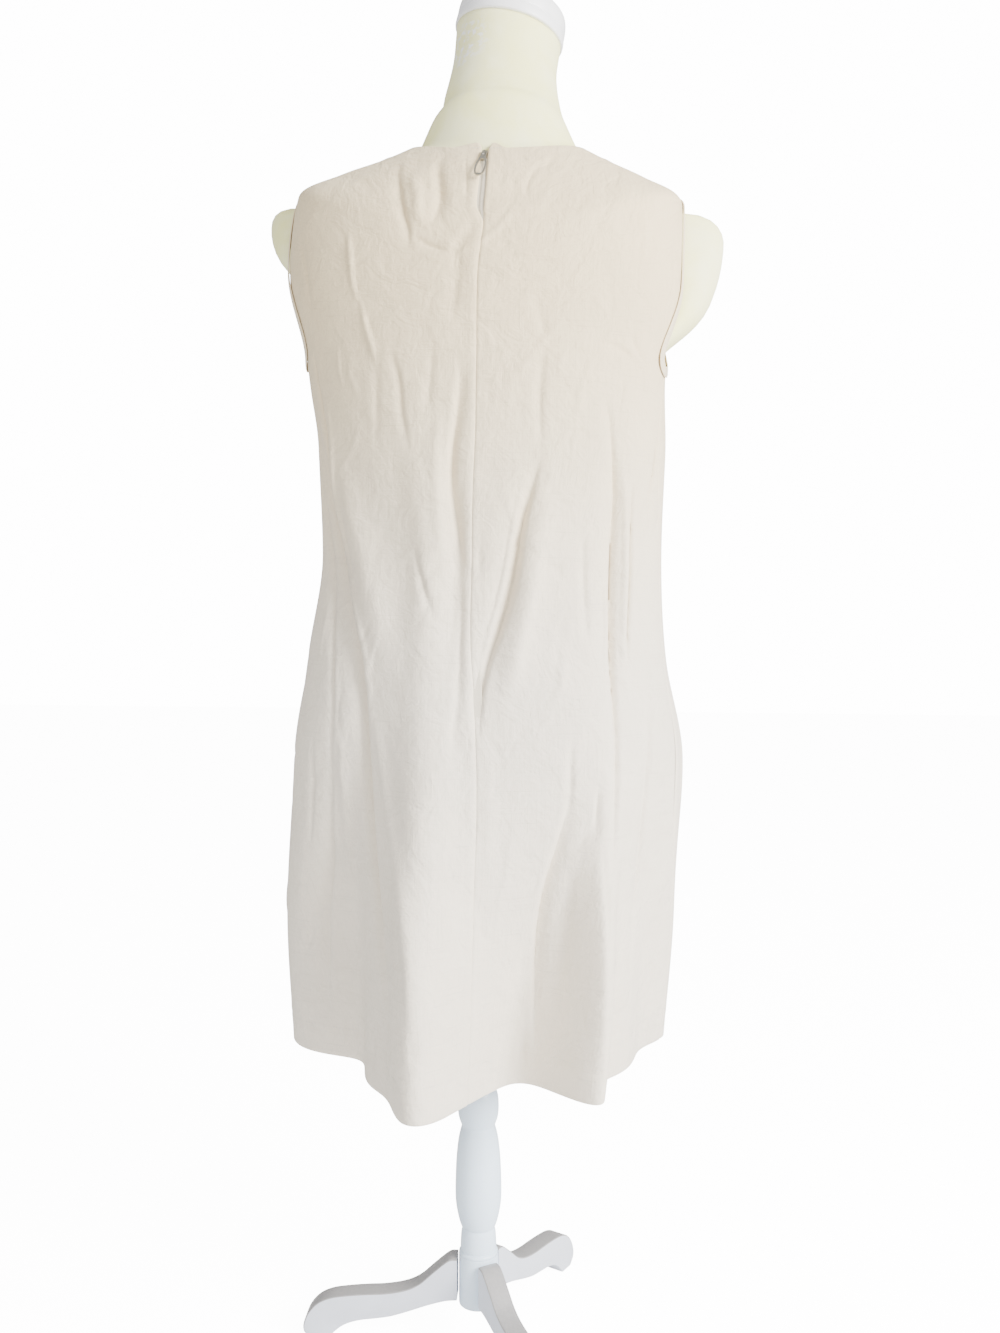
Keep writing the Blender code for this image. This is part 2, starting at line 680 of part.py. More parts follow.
def make_slider(metal):
    """The slider's body, and a bridge over it that holds the pull tab."""
    frame = slider_frame()
    half = SLIDER_LENGTH / 2
    side = np.array([
        (-half, 0.0003), (half, 0.0003), (half, SLIDER_TOP - 0.0006), (half - 0.0008, SLIDER_TOP),
        (-half + 0.0008, SLIDER_TOP), (-half, SLIDER_TOP - 0.0006),
    ])
    points, faces = extruded(side, SLIDER_WIDTH / 2, 0)
    body = solid("zip_slider", placed(points, frame), faces, metal, smooth=False)
    low = SLIDER_TOP - 0.0004
    under = SLIDER_TOP + BRIDGE_ROOM
    over = under + BRIDGE_THICK
    inner = BRIDGE_REACH - BRIDGE_THICK
    arch = np.array([
        (-BRIDGE_REACH, low), (-inner, low), (-inner, under - 0.0005), (-inner + 0.0005, under),
        (inner - 0.0005, under), (inner, under - 0.0005), (inner, low), (BRIDGE_REACH, low),
        (BRIDGE_REACH, over - 0.0007), (BRIDGE_REACH - 0.0007, over),
        (-BRIDGE_REACH + 0.0007, over), (-BRIDGE_REACH, over - 0.0007),
    ])
    points, faces = extruded(arch, BRIDGE_WIDTH / 2, 0)
    bridge = solid("bridge_cutter", placed(points, frame), faces, metal, smooth=False)
    bridge.hide_render = True
    bridge.display_type = "WIRE"
    join = body.modifiers.new("Bridge", "BOOLEAN")
    join.operation = "UNION"
    join.solver = "EXACT"
    join.object = bridge
    return frame


def tab_pivot(frame):
    return placed(np.array([[0.0, 0.0, SLIDER_TOP + BRIDGE_ROOM / 2]]), frame)[0]


def make_pull_tab(frame, metal):
    """A slotted teardrop with its eye round the bridge. It hangs down on the slider's lower end."""
    pivot = tab_pivot(frame)
    _, across, up, outward = frame
    bar = TAB_THICK / 2
    slope = math.atan2(BRIDGE_ROOM / 2 - bar - 0.0002, SLIDER_LENGTH / 2)
    down = -up * math.cos(slope) - outward * math.sin(slope)
    out = outward * math.cos(slope) - up * math.sin(slope)
    eye_half, eye_end = BRIDGE_WIDTH / 2 + TAB_EYE_ROOM, BRIDGE_REACH + TAB_EYE_ROOM
    lobe = smooth_curve([row.length for row in TAB_LOBES], [row.half_width for row in TAB_LOBES])
    first, shoulder, last = TAB_LOBES[0].length, TAB_LOBES[1].length, TAB_LOBES[-1].length
    lengths = np.concatenate([[first], np.linspace(shoulder, last, 12)])
    outline = [(lobe(v), v) for v in lengths] + [(-lobe(v), v) for v in lengths[::-1]]
    eye = [(eye_half, bar), (eye_half, eye_end), (-eye_half, eye_end), (-eye_half, bar)]
    slot_lengths = np.linspace(TAB_SLOT_FROM, TAB_SLOT_TO, 9)
    slot = [(lobe(v) - TAB_SLOT_WALL, v) for v in slot_lengths]
    slot += [(-x, v) for x, v in slot[::-1]]
    work = bmesh.new()
    for loop in (outline, eye, slot):
        corners = [work.verts.new((x, v, -TAB_THICK / 2)) for x, v in loop]
        for a, b in zip(corners, corners[1:] + corners[:1]):
            work.edges.new((a, b))
    flat = bmesh.ops.triangle_fill(work, use_beauty=True, use_dissolve=False, edges=work.edges[:])
    faces = [item for item in flat["geom"] if isinstance(item, bmesh.types.BMFace)]
    grown = bmesh.ops.extrude_face_region(work, geom=faces)
    moved = [item for item in grown["geom"] if isinstance(item, bmesh.types.BMVert)]
    bmesh.ops.translate(work, verts=moved, vec=(0.0, 0.0, TAB_THICK))
    work.verts.index_update()
    local = np.array([vert.co[:] for vert in work.verts])
    shape = [tuple(vert.index for vert in face.verts) for face in work.faces]
    work.free()
    points = local[:, :1] * across + local[:, 1:2] * down + local[:, 2:] * out
    tab = solid("zip_pull_tab", points, shape, metal, smooth=False)
    tab.location = pivot
    return pivot, across


def body_rings():
    """The form's body and neck as rings of points, its columns led round the armholes."""
    lens = np.linspace(-1.0, 1.0, 9)
    rise = panel_stations()
    base = [BODY_BASE_Z, BODY_BASE_Z + BODY_BASE_ROUND]
    skirt = rise[(rise > BODY_BASE_Z + 2 * BODY_BASE_ROUND) & (rise < UNDERARM_Z - 0.01)][::2]
    shoulders = rise[rise >= UNDERARM_Z - 0.001][:-2]
    stations = np.concatenate([base, skirt, shoulders, [NECK_Z]])
    rings = []
    for index, station in enumerate(stations):
        opening = float(armhole_opening(station))
        open_back = math.radians(max(ARMHOLE_BACK * opening, LENS_LEAST))
        open_front = math.radians(max(ARMHOLE_FRONT * opening, LENS_LEAST))
        left, right = (math.radians(float(side_seam(side, station))) for side in (1, -1))
        spread = np.where(lens > 0, open_back, open_front) * lens
        back = np.linspace(left + open_back, right - open_back, 15)[1:-1]
        front = np.linspace(right + open_front, left - open_front + 2 * math.pi, 17)[1:-1]
        angle = np.concatenate([left + spread, back, right - spread[::-1], front])
        slack = body_slack(angle, station)
        level = np.full(angle.shape, station)
        ring = cloth(angle, level, stump_bulge(angle, station) - slack, folded=False)
        if index == 0:
            middle = ring.mean(axis=0)
            ring = middle + (ring - middle) * BODY_BASE_SHARE
            ring[:, 2] = BODY_BASE_Z
        rings.append(ring)
    middle = rings[-1].mean(axis=0)
    bearing = np.arctan2(rings[-1][:, 1] - middle[1], rings[-1][:, 0] - middle[0])
    for neck in NECK_RINGS:
        x, y = neck.half_width * np.cos(bearing), neck.depth * np.sin(bearing)
        z = neck.height + neck.rise_x * x + neck.rise_y * y
        rings.append(np.stack([neck.centre_x + x, neck.centre_y + y, z], axis=-1))
    return np.array(rings)


def body_slack(angle, station):
    """The gap from the dress to the body: the table's side value, led to its back or front value."""
    toward = np.where(np.sin(angle) > 0, SLACK["back"](station), SLACK["front"](station))
    side = SLACK["side"](station)
    return side + (toward - side) * np.sin(angle) ** 2


def stump_bulge(angle, station):
    """The rounded stump through each armhole: a half ellipse over its peak, flatter below it.

    It is nothing at the armhole's edge, and is measured across by the armhole's own width there.
    """
    middle, half = (UNDERARM_Z + SHOULDER_Z) / 2, (SHOULDER_Z - UNDERARM_Z) / 2
    opening = max(float(armhole_opening(station)), 0.05)
    bulge = np.zeros_like(angle)
    for stump in STUMPS:
        up = (station - middle) / half - stump.peak
        up, power = (up / stump.above, STUMP_TOP) if up > 0 else (up / stump.below, stump.fall)
        seam = math.radians(float(side_seam(stump.side, station)))
        off = stump.side * ((angle - seam + math.pi) % (2 * math.pi) - math.pi)
        across = off / np.radians(np.where(off > 0, ARMHOLE_BACK, ARMHOLE_FRONT)) / opening
        height = max(1 - (up / STUMP_EDGE) ** 2, 0.0) ** power
        bulge = bulge + stump.size * height * np.sqrt(np.clip(1 - (across / STUMP_EDGE) ** 2, 0.0, 1.0))
    return bulge


def make_cap(white):
    """The neck's cap: a domed disc that sits on the neck's tilted top."""
    top = NECK_RINGS[-1]
    normal = np.array([-top.rise_x, -top.rise_y, 1.0])
    normal /= np.linalg.norm(normal)
    across = np.array([1.0, 0.0, top.rise_x])
    across /= np.linalg.norm(across)
    away = np.cross(normal, across)
    turn = np.linspace(0.0, 2 * math.pi, 33)[:-1]
    seat = np.array([top.centre_x, top.centre_y, top.height]) + normal * SEAM_GAP
    around = np.cos(turn)[:, None] * across + np.sin(turn)[:, None] * away
    rings = np.array([seat + normal * at.height + around * at.radius for at in CAP])
    capped("neck_cap", rings, white)


def turned_solid(name, profile, segments, finish):
    """A solid turned on the column's axis, through a profile from its foot up."""
    turn = np.linspace(0.0, 2 * math.pi, segments + 1)[:-1]
    c, s = np.cos(turn), np.sin(turn)
    level = np.ones(segments)
    rings = [np.stack([at.radius * c, at.radius * s, at.height * level], axis=-1) for at in profile]
    return capped(name, np.array(rings), finish)


def make_leg(number, angle, white):
    """One scroll leg, cut to fit the hub. Its foot is flat on the floor."""
    outline = np.array([tuple(at) for at in LEG_TOP + LEG_UNDER])
    points, faces = extruded(outline, LEG_THICK / 2, 1)
    c, s = math.cos(math.radians(angle)), math.sin(math.radians(angle))
    x, y = points[:, 0] * c - points[:, 1] * s, points[:, 0] * s + points[:, 1] * c
    leg = solid(f"leg_{number}", np.stack([x, y, points[:, 2]], axis=-1), faces, white, smooth=False)
    return leg


def make_stand(white):
    pole = (Turn(POLE_FOOT_Z, POLE_RADIUS), Turn(BODY_BASE_Z - SEAM_GAP, POLE_RADIUS))
    turned_solid("pole", pole, ROUND_SEGMENTS, white)
    turned_solid("column", COLUMN, ROUND_SEGMENTS, white)
    hub = (
        Turn(HUB_LOW_Z, HUB_RADIUS - HUB_EDGE),
        Turn(HUB_LOW_Z + HUB_EDGE, HUB_RADIUS),
        Turn(HUB_TOP_Z, HUB_RADIUS),
    )
    turned_solid("hub", hub, ROUND_SEGMENTS, white)
    socket = (Turn(0.0, HUB_RADIUS + SEAM_GAP), Turn(2 * HUB_TOP_Z, HUB_RADIUS + SEAM_GAP))
    cutter = turned_solid("hub_cutter", socket, ROUND_SEGMENTS, white)
    cutter.hide_render = True
    cutter.display_type = "WIRE"
    for number, angle in enumerate(LEG_ANGLES, 1):
        leg = make_leg(number, angle, white)
        cut = leg.modifiers.new("Hub", "BOOLEAN")
        cut.operation = "DIFFERENCE"
        cut.solver = "EXACT"
        cut.object = cutter


def centre_on_origin():
    """Move everything sideways together, until the whole part's box is centred over the origin."""
    points = []
    for made in bpy.data.objects:
        if not made.hide_render:
            corners = np.array([vert.co[:] for vert in made.data.vertices])
            points.append(corners + np.array(made.location))
    points = np.concatenate(points)
    middle = (points.min(axis=0) + points.max(axis=0)) / 2
    for made in bpy.data.objects:
        made.location.x -= middle[0]
        made.location.y -= middle[1]


def build():
    for old in list(bpy.data.objects):
        bpy.data.objects.remove(old)
    linen = material("linen", (0.74, 0.70, 0.63), 0.85)
    tape = material("zip_tape", (0.78, 0.75, 0.68), 0.80)
    metal = material("zip_metal", (0.62, 0.62, 0.60), 0.30, 1.0)
    cream = material("form_cover", (0.86, 0.85, 0.74), 0.75)
    white = material("white_paint", (0.84, 0.86, 0.90), 0.45)
    make_panels(linen)
    for side in (1, -1):
        make_armhole_band(side, linen)
        make_pocket_bag(side, linen)
    make_zip_tape(tape)
    frame = make_slider(metal)
    make_pull_tab(frame, metal)
    capped("form_torso", body_rings(), cream)
    make_cap(white)
    make_stand(white)
    centre_on_origin()


build()
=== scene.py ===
# %% [markdown]
# # A linen shift dress on its dress form
#
# The part is a sleeveless shift dress, worn by a limbless form on a turned stand. The solids
# already stand in the right place and at the right size. This lesson gives them their looks: cloth
# with its creases, sewing, zip teeth, the form's jersey cover and the paint of the stand.
#
# We load the solids first. Everything we make later rides on one of their bodies.

# %% Load the frame
import json
import math
from collections import namedtuple

import bpy
import numpy as np
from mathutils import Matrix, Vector

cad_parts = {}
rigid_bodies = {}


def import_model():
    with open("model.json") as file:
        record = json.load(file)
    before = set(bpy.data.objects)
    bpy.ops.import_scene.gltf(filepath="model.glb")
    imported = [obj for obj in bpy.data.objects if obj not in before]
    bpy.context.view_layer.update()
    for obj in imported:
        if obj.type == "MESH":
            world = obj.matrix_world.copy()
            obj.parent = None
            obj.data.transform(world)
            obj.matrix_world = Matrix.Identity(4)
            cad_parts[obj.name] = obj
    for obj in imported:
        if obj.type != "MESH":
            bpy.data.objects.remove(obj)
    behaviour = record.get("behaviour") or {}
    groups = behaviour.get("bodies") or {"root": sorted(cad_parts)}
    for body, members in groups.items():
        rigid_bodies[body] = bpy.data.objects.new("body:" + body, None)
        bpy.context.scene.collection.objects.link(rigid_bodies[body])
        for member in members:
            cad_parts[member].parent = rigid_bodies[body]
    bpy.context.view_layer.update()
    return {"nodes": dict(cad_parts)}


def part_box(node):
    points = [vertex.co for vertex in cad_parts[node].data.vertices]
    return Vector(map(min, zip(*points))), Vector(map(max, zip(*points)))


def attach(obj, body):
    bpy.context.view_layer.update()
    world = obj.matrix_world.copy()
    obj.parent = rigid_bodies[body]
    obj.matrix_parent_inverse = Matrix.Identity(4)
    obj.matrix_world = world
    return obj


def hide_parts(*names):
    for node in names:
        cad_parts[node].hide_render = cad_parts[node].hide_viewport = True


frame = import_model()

BODY = "dress_on_form"
pole_low, pole_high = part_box("pole")
AXIS = np.array([(pole_low[0] + pole_high[0]) / 2, (pole_low[1] + pole_high[1]) / 2, 0.0])

# %% [markdown]
# ## Curves and meshes from arrays
#
# A surface here is a function of two parameters, worked out for a whole grid of points at once. We
# could model each piece by hand or simulate it, but a formula keeps every crease where we put it and
# gives the same cloth each time. These helpers turn rows of numbers into smooth curves, and grids of
# points into meshes.

# %% Smooth curves
def smooth_curve(at, values):
    """A cubic through the points that never overshoots: inner slopes are harmonic means."""
    at = np.asarray(at, float)
    values = np.asarray(values, float)
    step = np.diff(at)
    side = np.diff(values) / step
    left, right = side[:-1], side[1:]
    same = left * right > 0
    mean = np.where(same, 2 * left * right / np.where(same, left + right, 1.0), 0.0)
    slope = np.concatenate([side[:1], mean, side[-1:]])

    def value(where):
        where = np.clip(where, at[0], at[-1])
        k = np.clip(np.searchsorted(at, where) - 1, 0, len(step) - 1)
        t = (where - at[k]) / step[k]
        return (
            (2 * t**3 - 3 * t**2 + 1) * values[k]
            + (t**3 - 2 * t**2 + t) * step[k] * slope[k]
            + (3 * t**2 - 2 * t**3) * values[k + 1]
            + (t**3 - t**2) * step[k] * slope[k + 1]
        )

    return value


def table(kind, columns, rows):
    """A table of rows with named columns."""
    row_type = namedtuple(kind, columns)
    return [row_type(*row) for row in rows]


def curves(rows):
    """One smooth curve over the station for each column of a table."""
    stations = [row.station for row in rows]
    return {name: smooth_curve(stations, [getattr(row, name) for row in rows]) for name in rows[0]._fields}


def ease(t):
    """0 below 0, 1 above 1, and a smooth S between: t squared times (3 - 2 t)."""
    t = np.clip(t, 0.0, 1.0)
    return t * t * (3 - 2 * t)


def bump(distance, width):
    """A soft bell: 1 at no distance, and e to the minus one at one width."""
    return np.exp(-((distance / width) ** 2))


def unit(vectors):
    """Vectors made one long."""
    return vectors / np.maximum(np.linalg.norm(vectors, axis=-1, keepdims=True), 1e-12)


def through(points, steps):
    """A smooth path through points, with so many steps to each stretch (Catmull-Rom)."""
    points = np.asarray(points, float)
    ends = np.concatenate([2 * points[:1] - points[1:2], points, 2 * points[-1:] - points[-2:-1]])
    before, start, end, after = ends[:-3], ends[1:-2], ends[2:-1], ends[3:]
    t = np.linspace(0.0, 1.0, steps + 1)[:-1].reshape((1, steps) + (1,) * (points.ndim - 1))
    before, start, end, after = (side[:, None] for side in (before, start, end, after))
    path = 0.5 * (
        2 * start
        + (end - before) * t
        + (2 * before - 5 * start + 4 * end - after) * t**2
        + (3 * start - before - 3 * end + after) * t**3
    )
    return np.concatenate([path.reshape((-1,) + points.shape[1:]), points[-1:]])


def full_turn(count):
    """So many even angles once round, in radians, without the end."""
    return np.linspace(0.0, 2 * math.pi, count + 1)[:-1]


def far_along(path):
    """The distance along a path at each of its points."""
    return np.concatenate([[0.0], np.cumsum(np.linalg.norm(np.diff(path, axis=0), axis=-1))])


def values_at(spots, far, values):
    """Rows of values read off at distances along their path."""
    return np.stack([np.interp(spots, far, column) for column in values.T], axis=-1)


def centred(angle):
    """An angle brought between minus pi and pi."""
    return (angle + math.pi) % (2 * math.pi) - math.pi


print("a curve halfway between 0 and 1 gives", float(smooth_curve([0, 1], [0, 1])(0.5)))

# %% [markdown]
# ## From arrays to meshes
#
# Blender can take a whole array of points in one call, which is far quicker than adding them one by
# one. Real cloth and wood have thickness, so every surface here becomes a closed body: a wall between
# two grids with a rounded edge, or a stack of rings with a fan over each end.

# %% Meshes
def piece(name, points, faces, finish, uv=None, sharp=None):
    """An object from an array of points and arrays of faces, all with the same corner count each."""
    mesh = bpy.data.meshes.new(name)
    corners = np.concatenate([part.ravel() for part in faces])
    counts = np.concatenate([np.full(len(part), part.shape[1]) for part in faces])
    starts = np.cumsum(counts) - counts
    mesh.vertices.add(len(points))
    mesh.vertices.foreach_set("co", np.asarray(points, np.float32).ravel())
    mesh.loops.add(len(corners))
    mesh.loops.foreach_set("vertex_index", corners.astype(np.int32))
    mesh.polygons.add(len(counts))
    mesh.polygons.foreach_set("loop_start", starts.astype(np.int32))
    if uv is not None:
        layer = mesh.uv_layers.new(name="cut")
        layer.uv.foreach_set("vector", np.asarray(uv, np.float32)[corners].ravel())
    mesh.update(calc_edges=True)
    mesh.validate()
    mesh.shade_smooth()
    if sharp is not None:
        mesh.set_sharp_from_angle(angle=math.radians(sharp))
    mesh.materials.append(finish)
    made = bpy.data.objects.new(name, mesh)
    bpy.context.scene.collection.objects.link(made)
    print(f"{name}: {len(points)} points, {int((counts - 2).sum())} triangles")
    return made


def grid_quads(rows, cols, start=0, wrap=False):
    """The quads of a grid of points; wrap joins the last column to the first."""
    row, col = np.meshgrid(np.arange(rows - 1), np.arange(cols if wrap else cols - 1), indexing="ij")
    a = start + row * cols + col
    b = start + row * cols + (col + 1) % cols
    return np.stack([a, b, b + cols, a + cols], axis=-1).reshape(-1, 4)


def rim_ring(inner, outer, away, reach, turn):
    """One ring of a rounded edge: turn goes from 0 on the outer face to pi on the inner face."""
    return outer + (inner - outer) * (1 - math.cos(turn)) / 2 + away * reach * math.sin(turn)


def shell(name, inner, outer, uv, finish, wrap=False, reach=0.0005, steps=4):
    """A thin closed wall between two grids of points, with half-round edges."""
    rows, cols = inner.shape[:2]
    count = rows * cols
    index = np.arange(count).reshape(rows, cols)
    across = np.zeros_like(outer)
    along = np.zeros_like(outer)
    along[0] = outer[0] - outer[1]
    along[-1] = outer[-1] - outer[-2]
    if wrap:
        loops = [np.append(index[0], index[0, 0]), np.append(index[-1], index[-1, 0])[::-1]]
    else:
        across[:, 0] = outer[:, 0] - outer[:, 1]
        across[:, -1] = outer[:, -1] - outer[:, -2]
        border = [index[0], index[1:, -1], index[-1, -2::-1], index[-2::-1, 0]]
        loops = [np.concatenate(border)]
    away = unit(unit(along) + unit(across)).reshape(-1, 3)
    flat_in, flat_out, flat_uv = inner.reshape(-1, 3), outer.reshape(-1, 3), uv.reshape(-1, 2)
    points, uvs = [flat_out, flat_in], [flat_uv, flat_uv]
    faces = [grid_quads(rows, cols, 0, wrap), grid_quads(rows, cols, count, wrap)[:, ::-1]]
    total = 2 * count
    for loop in loops:
        edge = loop[:-1]
        rings = [edge]
        for step in range(1, steps):
            turn = math.pi * step / steps
            points.append(rim_ring(flat_in[edge], flat_out[edge], away[edge], reach, turn))
            uvs.append(flat_uv[edge])
            rings.append(total + np.arange(len(edge)))
            total += len(edge)
        rings.append(edge + count)
        for near, far in zip(rings, rings[1:]):
            near_next, far_next = np.roll(near, -1), np.roll(far, -1)
            faces.append(np.stack([near, far, far_next, near_next], axis=-1))
    return piece(name, np.concatenate(points), faces, finish, np.concatenate(uvs))


def closed_rings(name, rings, finish, uv=None, sharp=None):
    """A closed body through rings of points from the bottom up, with a fan over each end."""
    rows, cols = rings.shape[:2]
    points = np.concatenate([rings.reshape(-1, 3), rings[:1].mean(axis=1), rings[-1:].mean(axis=1)])
    low, high = np.arange(cols), (rows - 1) * cols + np.arange(cols)
    bottom = np.stack([np.roll(low, -1), low, np.full(cols, rows * cols)], axis=-1)
    top = np.stack([high, np.roll(high, -1), np.full(cols, rows * cols + 1)], axis=-1)
    if uv is not None:
        uv = np.concatenate([uv.reshape(-1, 2), uv[:1].mean(axis=1), uv[-1:].mean(axis=1)])
    return piece(name, points, [grid_quads(rows, cols, 0, True), bottom, top], finish, uv, sharp=sharp)


def scatter(name, template, faces, centres, frames, finish):
    """Copies of one small shape: each point is its centre plus the three frame axes times the shape."""
    points = centres[:, None] + np.einsum("vk,nkx->nvx", template, frames)
    offsets = (np.arange(len(centres)) * len(template))[:, None, None]
    shapes = [(part[None] + offsets).reshape(-1, part.shape[1]) for part in faces]
    return piece(name, points.reshape(-1, 3), shapes, finish)


# %% [markdown]
# ## The dress as one surface
#
# The solids' dress is a stack of rings from the hem to the neckline. A point on it is an angle round
# the ring and a station, the ring's height at the centre back. We repeat the ring table here, so the
# fine cloth lies exactly on the solids. Angle 0 is the wearer's left side, 90 the centre back.

# %% The ring stack
CLOTH = 0.0014
HEM_Z = 0.305
HEM_TURN = 0.030
UNDERARM_Z = 0.985
SHOULDER_Z = 1.092
ARMHOLE_MIDDLE = (UNDERARM_Z + SHOULDER_Z) / 2
ARMHOLE_HALF = (SHOULDER_Z - UNDERARM_Z) / 2
NECK_Z = 1.179
SEAM_GAP = 0.0003
NECK_TRIM = 0.0072
CORNER_WIDTH = {"left": 0.022, "right": 0.013}
ARMHOLE_BACK = 15.0
ARMHOLE_FRONT = 20.0
ARMHOLE_FORWARD = {"left": 6.0, "right": 13.0}
SHOULDER_SEAM = -4.0
ZIP_FOOT_Z = 0.627
ZIP_OPEN_Z = 1.092
ZIP_OPEN_WIDTH = 0.0076
ZIP_OPEN_FADE = 0.020
NOTCH_DEPTH = 0.007
NOTCH_WIDTH = 0.0135
POCKET_LOW_Z = 0.535
POCKET_HIGH_Z = 0.680
POCKET_GAPE = 0.0040

RING_COLUMNS = "station side_z front_z half_width back_depth front_depth centre_x centre_y squareness rise"
DRESS_RINGS = table("Ring", RING_COLUMNS, (
    (0.305, 0.318, 0.305, 0.1880, 0.147, 0.120, 0.0010, 0.000, 1.9, -0.026),
    (0.450, 0.450, 0.450, 0.1945, 0.132, 0.120, -0.0005, 0.000, 2.0, -0.020),
    (0.600, 0.600, 0.600, 0.1920, 0.122, 0.120, -0.0070, 0.000, 2.1, 0.000),
    (0.700, 0.700, 0.700, 0.1775, 0.112, 0.116, -0.0075, 0.000, 2.1, 0.010),
    (0.800, 0.800, 0.800, 0.1675, 0.102, 0.116, -0.0125, 0.000, 2.1, 0.020),
    (0.900, 0.900, 0.900, 0.1710, 0.102, 0.124, -0.0122, 0.000, 2.2, 0.030),
    (0.985, 0.985, 0.985, 0.1755, 0.106, 0.126, -0.0075, 0.000, 2.3, 0.040),
    (1.040, 1.066, 1.020, 0.1915, 0.109, 0.118, -0.0065, 0.000, 2.3, 0.055),
    (1.092, 1.143, 1.055, 0.1870, 0.106, 0.106, -0.0110, 0.000, 2.3, 0.055),
    (1.125, 1.164, 1.078, 0.1500, 0.096, 0.096, -0.0160, 0.000, 2.2, 0.055),
    (1.155, 1.179, 1.098, 0.1120, 0.082, 0.084, -0.0200, 0.000, 2.1, 0.050),
    (1.179, 1.196, 1.115, 0.0780, 0.064, 0.072, -0.0215, 0.000, 2.0, 0.045),
))
DRESS = curves(DRESS_RINGS)

SEAM_ANGLES = table("Seams", "station left right back", (
    (0.305, 4.0, 178.0, 95.0), (0.450, 2.0, 175.0, 94.5), (0.500, 1.0, 173.0, 94.0),
    (0.570, -1.0, 170.0, 93.2), (0.640, -2.0, 171.0, 92.3), (0.800, 3.0, 171.0, 89.5),
    (0.910, 8.0, 163.0, 90.4), (0.985, 10.0, 172.0, 91.7), (1.050, 10.0, 172.0, 92.3),
    (1.092, 10.0, 172.0, 92.2), (1.110, 10.0, 172.0, 91.1), (1.130, 10.0, 172.0, 90.7),
    (1.155, 10.0, 172.0, 89.6), (1.179, 10.0, 172.0, 87.4),
))
SEAMS = curves(SEAM_ANGLES)

FOLDS = table("Fold", "top_angle hem_angle top_z depth width", (
    (79.0, 83.6, 0.760, 0.052, 9.2), (57.4, 42.3, 0.740, -0.045, 16.5),
    (118.2, 110.8, 0.640, -0.038, 13.9), (132.4, 126.0, 0.620, 0.050, 5.7),
    (139.0, 163.1, 0.860, -0.017, 13.7), (222.0, 216.0, 0.600, -0.026, 12.0),
    (246.0, 242.0, 0.740, 0.030, 12.0), (270.0, 272.0, 0.640, -0.020, 13.0),
    (300.0, 303.0, 0.720, 0.028, 12.0), (324.0, 330.0, 0.600, -0.022, 11.0),
))

CREASES = table("Crease", "from_angle from_z to_angle to_z depth width", (
    (10.0, 0.960, 58.0, 0.640, -0.0110, 8.0), (30.0, 0.940, 74.0, 0.640, 0.0060, 7.0),
    (109.0, 0.910, 92.0, 0.640, -0.0060, 4.0), (113.0, 0.900, 99.0, 0.620, 0.0050, 5.0),
    (83.5, 0.930, 87.0, 0.640, -0.0050, 3.0), (73.0, 0.960, 80.0, 0.600, 0.0060, 6.0),
    (136.0, 0.960, 138.0, 0.560, -0.0050, 4.5), (187.0, 0.720, 186.0, 0.480, 0.0040, 5.0),
    (236.0, 0.950, 228.0, 0.620, -0.0080, 8.0), (304.0, 0.950, 312.0, 0.620, -0.0080, 8.0),
    (262.0, 0.900, 250.0, 0.600, 0.0060, 8.0),
))


# %% [markdown]
# ## A point of the dress
#
# Garment makers drape cloth over a form; we drape a formula. Each ring is an ellipse with filled-out
# corners, and its height swings from the side to the centre back or front. The large folds and creases
# then push its points in or out.

# %% From rings to points
def ring_point(angle, station):
    """A ring's point: an ellipse with filled-out corners, lifted from side height to end height."""
    power = 2.0 / DRESS["squareness"](station)
    c, s = np.cos(angle), np.sin(angle)
    depth = np.where(s > 0, DRESS["back_depth"](station), DRESS["front_depth"](station))
    end_z = np.where(s > 0, station, DRESS["front_z"](station))
    side_z = DRESS["side_z"](station)
    x = DRESS["centre_x"](station) + DRESS["half_width"](station) * np.sign(c) * np.abs(c) ** power
    y = DRESS["centre_y"](station) + depth * np.sign(s) * np.abs(s) ** power
    z = side_z + (end_z - side_z) * s**2 + DRESS["rise"](station) * x
    return np.stack(np.broadcast_arrays(x, y, z), axis=-1)


def off_angle(degrees, middle):
    """How far an angle is from a middle, in degrees from -180 to 180."""
    return (degrees - middle + 180.0) % 360.0 - 180.0


def same_shape(angle, station):
    """An angle and a station as arrays of one shape."""
    return np.broadcast_arrays(np.asarray(angle, float), np.asarray(station, float))


def large_push(angle, station):
    """The solids' own folds and creases: bells across an angle that grow or swell down the dress."""
    degrees = np.degrees(angle)
    push = np.zeros(np.broadcast(angle, station).shape)
    for fold in FOLDS:
        down = np.clip((fold.top_z - station) / (fold.top_z - HEM_Z), 0.0, 1.0)
        middle = fold.top_angle + (fold.hem_angle - fold.top_angle) * down
        push = push + fold.depth * ease(down) * bump(off_angle(degrees, middle), fold.width)
    for crease in CREASES:
        along = np.clip((crease.from_z - station) / (crease.from_z - crease.to_z), 0.0, 1.0)
        middle = crease.from_angle + (crease.to_angle - crease.from_angle) * along
        fade = np.sin(math.pi * along) ** 2
        push = push + crease.depth * fade * bump(off_angle(degrees, middle), crease.width)
    return push


# %% [markdown]
# ## Creases placed one by one
#
# Linen creases in soft, uneven lines. Each one here is a short path of (angle, station) points with
# a depth and a width: a trough has a negative depth. They were placed by looking at the photo, one
# by one, and the sides that it hides get similar ones. A bell across the path makes the crease, and
# it fades in and out along its length.

# %% The creases
FLAT_RADIUS = 0.170
SMALL_STEP = 1e-3
LEAN_SHARE = 0.7
Line = namedtuple("Line", "path depth width lean")


def lines_from(rows):
    """Lines from rows in degrees, millimetres up, and tenths of a millimetre of depth and width."""
    made = []
    for path, depth, width, lean in rows:
        metres = [(angle, station / 1000) for angle, station in path]
        made.append(Line(metres, depth / 10000, width / 10000, lean))
    return made


